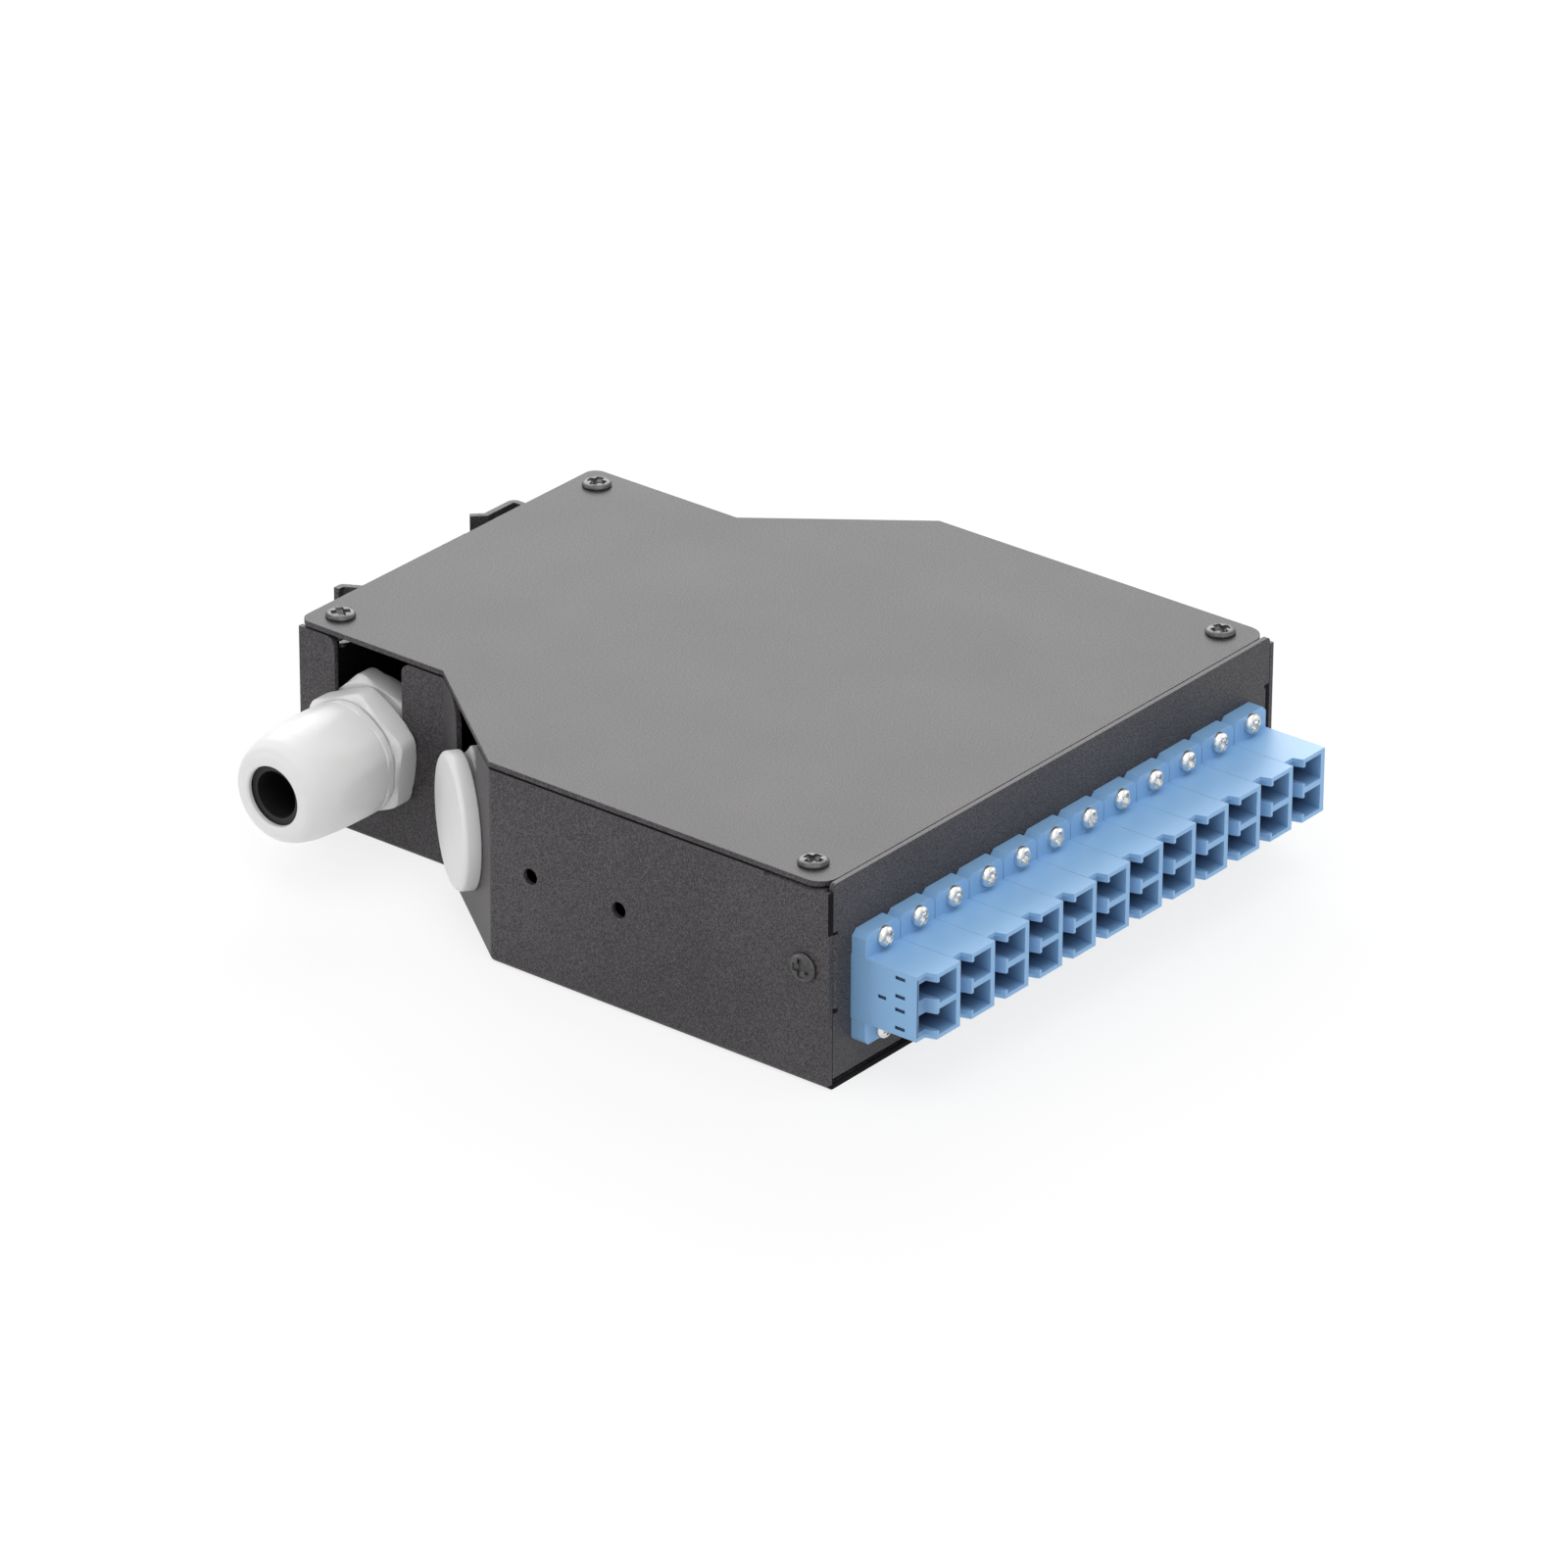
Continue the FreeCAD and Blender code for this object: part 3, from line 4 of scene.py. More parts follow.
import bmesh
import bpy
import numpy as np
from bpy.props import FloatProperty, FloatVectorProperty, IntProperty, PointerProperty
from mathutils import Matrix, Vector

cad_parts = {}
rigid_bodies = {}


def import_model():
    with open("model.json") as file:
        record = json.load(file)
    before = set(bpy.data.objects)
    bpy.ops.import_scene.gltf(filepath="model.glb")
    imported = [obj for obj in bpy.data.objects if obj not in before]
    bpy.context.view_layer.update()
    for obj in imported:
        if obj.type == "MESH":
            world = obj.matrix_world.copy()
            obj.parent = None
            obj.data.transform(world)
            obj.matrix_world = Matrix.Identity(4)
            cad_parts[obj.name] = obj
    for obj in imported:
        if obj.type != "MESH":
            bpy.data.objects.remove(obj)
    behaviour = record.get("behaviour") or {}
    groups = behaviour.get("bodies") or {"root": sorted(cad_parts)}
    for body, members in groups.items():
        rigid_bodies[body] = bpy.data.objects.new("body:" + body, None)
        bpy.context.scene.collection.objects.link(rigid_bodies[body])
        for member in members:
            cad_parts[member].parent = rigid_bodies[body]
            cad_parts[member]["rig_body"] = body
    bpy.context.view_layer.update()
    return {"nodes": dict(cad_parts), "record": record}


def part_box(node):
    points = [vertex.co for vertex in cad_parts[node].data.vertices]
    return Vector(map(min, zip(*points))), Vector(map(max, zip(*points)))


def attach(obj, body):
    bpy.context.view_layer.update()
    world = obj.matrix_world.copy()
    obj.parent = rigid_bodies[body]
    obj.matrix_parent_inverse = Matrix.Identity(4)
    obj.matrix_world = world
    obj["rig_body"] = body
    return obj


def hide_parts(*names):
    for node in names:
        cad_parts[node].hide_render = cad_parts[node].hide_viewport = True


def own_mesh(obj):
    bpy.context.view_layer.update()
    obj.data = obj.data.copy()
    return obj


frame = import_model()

bl_info = {
    "name": "Fibre Box Finisher",
    "version": (1, 0, 0),
    "blender": (4, 5, 0),
    "location": "3D View > Sidebar > Fibre Box",
    "description": "Finishes a sheet-metal fibre box: powder coat, moulded adapters, gland and fasteners",
    "category": "Object",
}

MM = 0.001
X_WAY, Y_WAY, Z_WAY = np.eye(3)
SHARP_ANGLE = math.radians(32)
SHEET = 1.0 * MM

# Half the height of an adapter's two stacked ports
PORTS_HALF = 5.7 * MM

# How far the flats of the gland's pieces are turned round the way of each piece
DOME_TURN = math.radians(27.5)
COLLAR_TURN = math.radians(23)
LOCKNUT_TURN = math.radians(45)

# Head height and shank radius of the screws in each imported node
LOW_HEAD = (1.0 * MM, 1.5 * MM)
SCREW_FORMS = {"lid_screws": LOW_HEAD, "panel_screws": LOW_HEAD, "clip_screws": LOW_HEAD,
               "tray_screws": LOW_HEAD, "adapter_screws": (1.4 * MM, 1.0 * MM)}


def length(name, description, millimetres):
    """Property that holds a length."""
    return FloatProperty(name=name, description=description, default=millimetres * MM, min=0.0,
                         unit="LENGTH", precision=5)


def colour(name, description, red, green, blue):
    """Property that holds a colour, given as it looks on screen, in shares of 255."""
    linear = [(share / 255) ** 2.2 for share in (red, green, blue)]
    return FloatVectorProperty(name=name, description=description, size=3, subtype="COLOR",
                               default=linear, min=0.0, max=1.0)


def strength(name, description, value):
    """Property that holds the strength of a light."""
    return FloatProperty(name=name, description=description, default=value, min=0.0)


def degrees(name, description, value):
    """Property that holds an angle, given in degrees."""
    return FloatProperty(name=name, description=description, default=math.radians(value), subtype="ANGLE")


class FIBREBOX_PG_colours(bpy.types.PropertyGroup):
    powder: colour("Powder coat", "Dark grey of the sheet metal", 47, 45, 48)
    # Also the paler colour of the edges: partly rubbed wear, partly a painted highlight
    powder_light: colour("Powder coat grains", "Paler grains of the powder coat", 95, 92, 94)
    # Near-black painted shadow on the front edges of the base and the left wall
    painted_edge_shadow: colour("Painted edge shadow", "Near-black painted shadow on the front edges", 8, 8, 9)
    blue: colour("Adapter blue", "Light blue of the adapter housings", 138, 184, 229)
    # Painted highlight on the adapters' edges
    blue_highlight: colour("Adapter edge", "Paler blue painted highlight on the moulded edges", 176, 212, 244)
    # Painted shade deep inside the ports
    blue_port_shade: colour("Port painted shade", "Dark blue painted shade deep inside a port", 62, 84, 122)
    white: colour("Gland white", "White nylon of the gland and the plug", 231, 231, 231)
    white_shade: colour("Gland shade", "Faintly darker clouds in the nylon", 225, 225, 224)
    black: colour("Black screws", "Black passivated steel", 92, 91, 92)
    plated: colour("Plated steel", "Bright plating of the small fixings", 240, 240, 238)
    spring: colour("Spring wire", "Bare spring wire", 150, 150, 154)
    rubber: colour("Rubber", "Black rubber of the seal", 17, 17, 18)
    ceramic: colour("Ceramic", "White zirconia of the sleeves", 236, 234, 228)
    tray: colour("Tray", "Black moulded splice tray", 44, 44, 47)
    comb: colour("Comb", "Pale grey splice combs", 190, 192, 196)
    floor: colour("Floor", "Pale studio floor", 250, 250, 250)


class FIBREBOX_PG_sizes(bpy.types.PropertyGroup):
    sheet_edge: length("Sheet edge", "Radius of a punched sheet edge", 0.16)
    plastic_edge: length("Moulded edge", "Radius of a moulded plastic edge", 0.14)
    metal_edge: length("Metal edge", "Radius of a fastener's edge", 0.10)
    powder_grain: length("Powder grain", "Width of one grain of powder coat", 0.30)
    powder_peel: length("Powder peel", "Width of the coat's soft waves", 1.6)
    powder_bump: length("Powder bump", "Height of the coat's texture", 0.03)
    plastic_grain: length("Plastic grain", "Width of the moulded texture", 0.22)
    plastic_bump: length("Plastic bump", "Height of the moulded texture", 0.008)
    dome_flats: length("Dome nut flats", "Width across the dome nut's soft flats", 21.8)
    dome_blend: length("Dome nut blend", "How softly the dome's flats run into its rounds", 0.2)
    hex_flats: length("Gland body flats", "Width across the gland body's flats", 22.6)
    hex_softness: length("Gland body corners", "How much its corners are rounded off", 0.3)
    nut_flats: length("Locknut flats", "Width across the locknuts' flats", 24.0)
    wire_radius: length("Spring wire radius", "Radius of the latch spring's wire", 0.3)
    thread_pitch: length("Gland thread pitch", "Pitch of the gland and plug threads", 1.5)
    thread_depth: length("Gland thread depth", "Depth of the gland and plug threads", 0.7)
    small_pitch: length("Screw thread pitch", "Pitch of the small screws' threads", 0.5)
    small_depth: length("Screw thread depth", "Depth of the small screws' threads", 0.16)


class FIBREBOX_PG_view(bpy.types.PropertyGroup):
    azimuth: degrees("Azimuth", "Camera's turn about Z, from the front", -51.284)
    elevation: degrees("Elevation", "Camera's height angle", 26.648)
    roll: degrees("Roll", "Camera's roll", 0.210)
    distance: length("Distance", "Camera's distance from the middle of the case", 1803.7)
    aim_across: length("Aim across", "How far the camera is moved to the right of its aim", 2.03)
    aim_down: length("Aim down", "How far the camera is moved below its aim", 4.591)
    lens: FloatProperty(name="Lens", description="Focal length on a 36 mm sensor", default=225.39,
                        unit="CAMERA")
    above_light: strength("Light above", "Strength of the softbox overhead", 4.95)
    behind_light: strength("Light behind", "Strength of the softbox behind", 15.5)
    left_light: strength("Light at the left", "Strength of the softbox rear left", 11.0)
    front_light: strength("Light in front", "Strength of the softbox in front", 4.8)
    right_light: strength("Light at the right", "Strength of the small softbox at the right end", 3.0)
    sky: strength("Sky", "Strength of the pale surroundings", 0.34)
    segments: IntProperty(name="Segments", description="Points round a turned surface", default=96, min=24)


def tone(value, share=1.0):
    """A colour as a socket takes it, made darker or paler by share."""
    return (value[0] * share, value[1] * share, value[2] * share, 1.0)


class Number:
    """A shader's number. Python's operators on it add Math nodes."""

    def __init__(self, finish, source):
        self.finish = finish
        self.source = source

    def combine(self, operation, first, second):
        node = self.finish.node("ShaderNodeMath", {"operation": operation}, {0: first, 1: second})
        return Number(self.finish, node.outputs[0])

    def __add__(self, other):
        return self.combine("ADD", self, other)

    __radd__ = __add__

    def __sub__(self, other):
        return self.combine("SUBTRACT", self, other)

    def __rsub__(self, other):
        return self.combine("SUBTRACT", other, self)

    def __mul__(self, other):
        return self.combine("MULTIPLY", self, other)

    __rmul__ = __mul__

    def __pow__(self, other):
        return self.combine("POWER", self, other)

    def __abs__(self):
        return self.combine("ABSOLUTE", self, 0.0)

    def repeat(self, length):
        """Remainder after whole lengths, between 0 and length, also below zero."""
        return self.combine("FLOORED_MODULO", self, length)


class Finish:
    """A material under construction, with the few nodes that the finishes share."""

    def __init__(self, name):
        self.material = bpy.data.materials.new(name)
        self.material.use_nodes = True
        self.tree = self.material.node_tree
        self.tree.nodes.clear()
        self.point = self.node("ShaderNodeTexCoord").outputs["Object"]

    def node(self, kind, settings=None, sockets=None):
        """Add a node: its settings come first, then its sockets' values or links."""
        made = self.tree.nodes.new(kind)
        for key, setting in (settings or {}).items():
            setattr(made, key, setting)
        for key, value in (sockets or {}).items():
            source = value.source if isinstance(value, Number) else value
            if isinstance(source, bpy.types.NodeSocket):
                self.tree.links.new(source, made.inputs[key])
            else:
                made.inputs[key].default_value = source
        return made

    def place(self):
        """The surface point's X, Y and Z in metres."""
        parts = self.node("ShaderNodeSeparateXYZ", None, {0: self.point})
        return [Number(self, parts.outputs[index]) for index in range(3)]

    def noise(self, width, detail=2.0, roughness=0.5):
        """Noise between 0 and 1 whose features are about width metres wide."""
        sockets = {"Vector": self.point, "Scale": 1.0 / width, "Detail": detail, "Roughness": roughness}
        node = self.node("ShaderNodeTexNoise", {"noise_dimensions": "3D"}, sockets)
        return Number(self, node.outputs["Fac"])

    def mix(self, mask, low, high):
        """Colour that goes from low to high as mask goes from 0 to 1."""
        node = self.node("ShaderNodeMix", {"data_type": "RGBA"}, {0: mask, 6: low, 7: high})
        return node.outputs[2]

    def spread(self, number, low, high):
        """Number that goes from 0 to 1 as the given one goes from low to high, kept in that range."""
        node = self.node("ShaderNodeMapRange", {"clamp": True}, {0: number, 1: low, 2: high})
        return Number(self, node.outputs[0])

    def rounded(self, radius):
        """Normal with every edge rounded by radius, and a mask that is 1 on those edges."""
        soft = self.node("ShaderNodeBevel", {"samples": 6}, {"Radius": radius}).outputs[0]
        true = self.node("ShaderNodeNewGeometry").outputs["Normal"]
        turn = self.node("ShaderNodeVectorMath", {"operation": "DOT_PRODUCT"}, {0: soft, 1: true})
        return soft, self.spread(Number(self, turn.outputs["Value"]), 0.995, 0.80)

    def bump(self, height, distance, strength, normal):
        node = self.node("ShaderNodeBump", None,
                         {"Height": height, "Distance": distance, "Strength": strength, "Normal": normal})
        return node.outputs[0]

    def close(self, base, roughness, normal, **fixed):
        """Join everything in one Principled shader; fixed are the sockets that stay the same all over."""
        sockets = {"Base Color": base, "Roughness": roughness, "Normal": normal}
        sockets.update({key.replace("_", " "): value for key, value in fixed.items()})
        shader = self.node("ShaderNodeBsdfPrincipled", None, sockets)
        self.node("ShaderNodeOutputMaterial", None, {"Surface": shader.outputs[0]})
        return self.material


def painted_front_shadow(finish):
    """Mask that is 1 on the front edges of the base and the left wall, where near-black painted shadow stands
    for the dark gap under and beside the front panel.

    It covers the foremost 0.3 mm of the base, and of the left wall above the adapters, one sheet thick.
    """
    low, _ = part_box("case_tray")
    above_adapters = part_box("adapter_01")[1][2] + 1.2 * MM
    across, along, up = finish.place()
    at_front = finish.spread(along, low[1] + 0.35 * MM, low[1] + 0.25 * MM)
    in_base = finish.spread(up, low[2] + SHEET + 0.08 * MM, low[2] + SHEET + 0.02 * MM)
    in_wall = finish.spread(across, low[0] + SHEET + 0.06 * MM, low[0] + SHEET)
    high_up = finish.spread(up, above_adapters - 0.05 * MM, above_adapters)
    return finish.spread(at_front * (in_base + high_up * in_wall), 0.0, 1.0)


def powder_coat(name, colours, sizes):
    """Matt dark powder coat: pale and dark grains, soft waves, edges a little paler as rubbed wear and as a
    painted highlight, and near-black painted shadow on the front edges.
    """
    finish = Finish(name)
    grain = finish.noise(sizes.powder_grain, 3.0, 0.65)
    peel = finish.noise(sizes.powder_peel)
    cloud = finish.noise(24 * MM)
    soft, edge = finish.rounded(sizes.sheet_edge)
    speckle = finish.spread(grain + (cloud - 0.5) * 0.12, 0.40, 0.66)
    coat = finish.mix(speckle, tone(colours.powder), tone(colours.powder_light))
    # Edges a little paler: partly rubbed wear, partly a painted highlight
    worn_and_highlit = finish.mix(edge * 0.35, coat, tone(colours.powder_light))
    # Painted shadow: the front edges of the base and the left wall go near-black, and rougher
    front_shadow_mask = painted_front_shadow(finish)
    base = finish.mix(front_shadow_mask, worn_and_highlit, tone(colours.painted_edge_shadow))
    normal = finish.bump(grain * 0.8 + peel * 0.5, sizes.powder_bump, 0.55, soft)
    return finish.close(base, 0.42 + grain * 0.12 + front_shadow_mask * 0.5, normal, Specular_IOR_Level=0.28)


def port_painted_shade(finish):
    """Mask of painted shade that goes from 0 at the mouths to 1 deep inside the ports, and stays 0 on the
    housings' outsides.

    Across, it repeats with the adapters' pitch, and it is on only between a housing's left and right walls.
    """
    low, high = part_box("adapter_01")
    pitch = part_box("adapter_02")[0][0] - low[0]
    across, along, up = finish.place()
    local = (across - low[0]).repeat(pitch)
    back = along - low[1]
    off_middle = abs(up - (low[2] + high[2]) / 2)
    past_left_wall = finish.spread(local, 0.45 * MM, 0.55 * MM)
    before_right_wall = finish.spread(local, pitch - 1.0 * MM, pitch - 1.15 * MM)
    between = finish.spread(off_middle, PORTS_HALF + 0.05 * MM, PORTS_HALF)
    deep = finish.spread(back, 0.4 * MM, 6.5 * MM)
    return past_left_wall * before_right_wall * between * deep + window_painted_shade(finish, local, back, between)


def window_painted_shade(finish, local, back, between):
    """Mask of painted shade that is 1 inside the small windows in a housing's left side, which lie behind its
    outer face.
    """
    sunk = finish.spread(local, 0.06 * MM, 0.10 * MM) * finish.spread(local, 0.45 * MM, 0.42 * MM)
    behind_mouth = finish.spread(back, 1.0 * MM, 1.1 * MM) * finish.spread(back, 12.0 * MM, 11.9 * MM)
    return sunk * behind_mouth * between


def moulded(name, dark, light, edge_highlight, sizes, rough, tint=0.25, deep=None):
    """Moulded plastic: faint clouds of colour, a fine spark-eroded grain, paler edges painted as a highlight,
    and, where deep is given, painted shade deep in the ports.
    """
    finish = Finish(name)
    grain = finish.noise(sizes.plastic_grain, 2.0, 0.55)
    flow = finish.noise(9 * MM, 3.0, 0.6)
    soft, edge = finish.rounded(sizes.plastic_edge)
    body = finish.mix(finish.spread(flow * 0.7 + grain * 0.3, 0.3, 0.7), dark, light)
    # Painted highlight: the edges are mixed towards a paler colour
    base = finish.mix(edge * tint, body, edge_highlight)
    # Painted shade: the blue goes dark towards deep inside the ports and windows
    if deep:
        base = finish.mix(finish.spread(port_painted_shade(finish), 0.0, 1.0) ** 0.7, base, deep)
    normal = finish.bump(grain, sizes.plastic_bump, 0.5, soft)
    return finish.close(base, rough + (flow - 0.5) * 0.12, normal)


def steel(name, light, dark, sizes, rough, metallic):
    """Turned and plated or blackened steel, with fine scratches and dull spots."""
    finish = Finish(name)
    scratch = finish.noise(0.12 * MM, 4.0, 0.7)
    dull = finish.noise(1.1 * MM, 2.0, 0.5)
    soft, edge = finish.rounded(sizes.metal_edge)
    base = finish.mix(finish.spread(scratch * 0.5 + dull * 0.5, 0.35, 0.65), dark, light)
    normal = finish.bump(scratch, 0.006 * MM, 0.4, soft)
    return finish.close(base, rough + dull * 0.18 + edge * 0.05, normal, Metallic=metallic)


def make_finishes():
    """Every material of the box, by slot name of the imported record."""
    colours = bpy.context.scene.fibre_box_colours
    sizes = bpy.context.scene.fibre_box_sizes
    white = tone(colours.white)
    finishes = {
        "grey_powder": powder_coat("powder_coat", colours, sizes),
        "white_plastic": moulded("white_nylon", tone(colours.white_shade), white, white, sizes, 0.42),
        "blue_plastic": moulded("adapter_blue", tone(colours.blue, 0.93), tone(colours.blue),
                                tone(colours.blue_highlight), sizes, 0.40, 0.55, tone(colours.blue_port_shade)),
    }
    for slot, name, value, dark, rough, metallic in (
            ("black_screw", "black_steel", colours.black, 0.45, 0.28, 0.75),
            ("plated_steel", "plated_steel", colours.plated, 0.7, 0.16, 1.0),
            ("spring_steel", "spring_wire", colours.spring, 0.6, 0.22, 1.0)):
        finishes[slot] = steel(name, tone(value), tone(value, dark), sizes, rough, metallic)
    # edge sets the paler colour of the edges, a painted highlight
    for slot, name, value, dark, edge, rough in (
            ("seal_rubber", "seal_rubber", colours.rubber, 0.7, 1.6, 0.62),
            ("ceramic", "ceramic_sleeve", colours.ceramic, 0.95, 1.0, 0.15),
            ("tray_plastic", "tray_plastic", colours.tray, 0.85, 1.8, 0.48),
            ("comb_plastic", "comb_plastic", colours.comb, 0.93, 1.0, 0.45)):
        finishes[slot] = moulded(name, tone(value, dark), tone(value), tone(value, edge), sizes, rough)
    return finishes


FINISHES = {}


def finish_of(slot):
    """Material of a slot. All of them are made the first time that one is asked for."""
    if not FINISHES:
        FINISHES.update(make_finishes())
    return FINISHES[slot]


def paint(*slots):
    """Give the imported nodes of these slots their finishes."""
    for part in frame["record"]["subparts"]:
        if part["material_slot"] in slots:
            mesh = frame["nodes"][part["node"]].data
            mesh.materials.clear()
            mesh.materials.append(finish_of(part["material_slot"]))


def slot_of(node):
    return next(part["material_slot"] for part in frame["record"]["subparts"] if part["node"] == node)


def corners_of(node):
    """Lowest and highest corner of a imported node."""
    return [np.array(corner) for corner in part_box(node)]


def middle_of(node):
    return sum(corners_of(node)) / 2


def solids_of(node):
    """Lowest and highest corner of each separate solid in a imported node, in order of place."""
    mesh = frame["nodes"][node].data
    points = np.empty(len(mesh.vertices) * 3, np.float32)
    mesh.vertices.foreach_get("co", points)
    points = points.reshape(-1, 3).astype(float)
    places, same = np.unique(np.round(points, 7), axis=0, return_inverse=True)
    mesh.calc_loop_triangles()
    corners = np.empty(len(mesh.loop_triangles) * 3, np.int32)
    mesh.loop_triangles.foreach_get("vertices", corners)
    triangles = same.reshape(-1)[corners].reshape(-1, 3)
    label = np.arange(len(places))
    while True:
        lowest = label[triangles].min(axis=1)
        spread = label.copy()
        for side in range(3):
            np.minimum.at(spread, triangles[:, side], lowest)
        spread = spread[spread]
        if np.array_equal(spread, label):
            break
        label = spread
    solids = [places[label == one] for one in np.unique(label)]
    return [(solid.min(axis=0), solid.max(axis=0)) for solid in solids]


def grid_faces(rows, columns, wrap, first=0):
    """Quads of a grid of points counted row by row. Where it wraps, the last column joins the first."""
    starts = np.arange(columns if wrap else columns - 1)
    row, column = np.meshgrid(np.arange(rows - 1), starts, indexing="ij")
    after = (column + 1) % columns
    quads = np.stack([row * columns + column, row * columns + after,
                      (row + 1) * columns + after, (row + 1) * columns + column], axis=-1)
    return quads.reshape(-1, 4) + first


def add_piece(name, sheets, nodes, slot, sharp=SHARP_ANGLE):
    """Make one mesh object from grids of points, each (points, wrap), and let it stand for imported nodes."""
    vertices, faces, first = [], [], 0
    for points, wrap in sheets:
        rows, columns = points.shape[:2]
        vertices.append(points.reshape(-1, 3))
        faces.append(grid_faces(rows, columns, wrap, first))
        first += rows * columns
    mesh = bpy.data.meshes.new(name)
    mesh.from_pydata(np.concatenate(vertices), [], np.concatenate(faces).tolist())
    piece = bpy.data.objects.new(name, mesh)
    bpy.context.scene.collection.objects.link(piece)
    weld(mesh)
    mesh.shade_smooth()
    mesh.set_sharp_from_angle(angle=sharp)
    mesh.materials.append(finish_of(slot))
    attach(piece, frame["nodes"][nodes[0]]["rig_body"])
    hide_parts(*nodes)
    return piece


def weld(mesh):
    """Merge doubled points, drop flat faces and turn every face outwards."""
    work = bmesh.new()
    work.from_mesh(mesh)
    bmesh.ops.remove_doubles(work, verts=work.verts, dist=1e-7)
    bmesh.ops.dissolve_degenerate(work, edges=work.edges, dist=1e-8)
    bmesh.ops.recalc_face_normals(work, faces=work.faces)
    work.to_mesh(mesh)
    work.free()


def axes_round(way):
    """Two unit ways across way, so that the three make a right-handed set."""
    across = Z_WAY if abs(way[2]) < 0.9 else X_WAY
    first = np.cross(across, way)
    first /= np.linalg.norm(first)
    return first, np.cross(way, first)


def set_in_place(across, up, along, start, way):
    """Local coordinates, as three arrays, moved to start and turned so that along follows way."""
    first, second = axes_round(way)
    return np.asarray(start) + across[..., None] * first + up[..., None] * second + along[..., None] * way


def smooth_profile(corners, round_off, steps=5):
    """Profile points (radius, along) with each inner corner rounded by round_off.

    Each corner becomes a quadratic curve that leaves one side and joins the next, round_off from the corner.
    """
    corners = np.asarray(corners, float)
    points = [corners[:1]]
    share = np.linspace(0, 1, steps)[:, None]
    for before, here, after in zip(corners[:-2], corners[1:-1], corners[2:]):
        back = before - here
        ahead = after - here
        reach = min(round_off, 0.45 * np.linalg.norm(back), 0.45 * np.linalg.norm(ahead))
        first = here + back / np.linalg.norm(back) * reach
        last = here + ahead / np.linalg.norm(ahead) * reach
        points.append((1 - share) ** 2 * first + 2 * share * (1 - share) * here + share ** 2 * last)
    points.append(corners[-1:])
    return np.concatenate(points)


def turned_rows(rows, angle, start, way):
    """Grid whose rows are rings round way.

    Each row is a radius, which may differ with the angle, and a place along way.
    """
    count = len(angle)
    radius = np.stack([np.broadcast_to(np.asarray(one, float), count) for one, _ in rows])
    along = np.stack([np.full(count, far) for _, far in rows])
    return set_in_place(radius * np.cos(angle), radius * np.sin(angle), along, start, way)


def ring_angles(count=None):
    count = count or bpy.context.scene.fibre_box_view.segments
    return np.arange(count) * (2 * np.pi / count)


def flat_radius(angle, flats, turn):
    """Radius of a sharp hexagon: half its flats over the cosine of the angle from the nearest flat."""
    beside = (angle - turn + np.pi / 3) % (np.pi / 3) - np.pi / 6
    return flats / 2 / np.cos(beside)


def hexagon_radius(angle, flats, turn, softness):
    """Radius of a hexagon whose corners run softly into a circle that cuts them off."""
    return soft_smaller(flat_radius(angle, flats, turn), flats / math.sqrt(3) - softness, softness)


def soft_smaller(first, second, blend):
    """The smaller of two lengths, with a smooth change-over about blend wide."""
    gap = np.clip(0.5 + (second - first) / (2 * blend), 0, 1)
    return second * (1 - gap) + first * gap - blend * gap * (1 - gap)


def thread_wave(along, angle, pitch):
    """Triangle wave between 0 and 1 that climbs one pitch in a turn."""
    phase = (along / pitch - angle / (2 * np.pi)) % 1.0
    return 1 - np.abs(2 * phase - 1)


def border_of(count):
    """Row and column of the border points of a square field of count by count points, in order round it."""
    order = [(index, 0) for index in range(count)] + [(count - 1, index) for index in range(1, count)]
    order += [(index, count - 1) for index in range(count - 2, -1, -1)]
    order += [(0, index) for index in range(count - 2, 0, -1)]
    return np.array(order).T


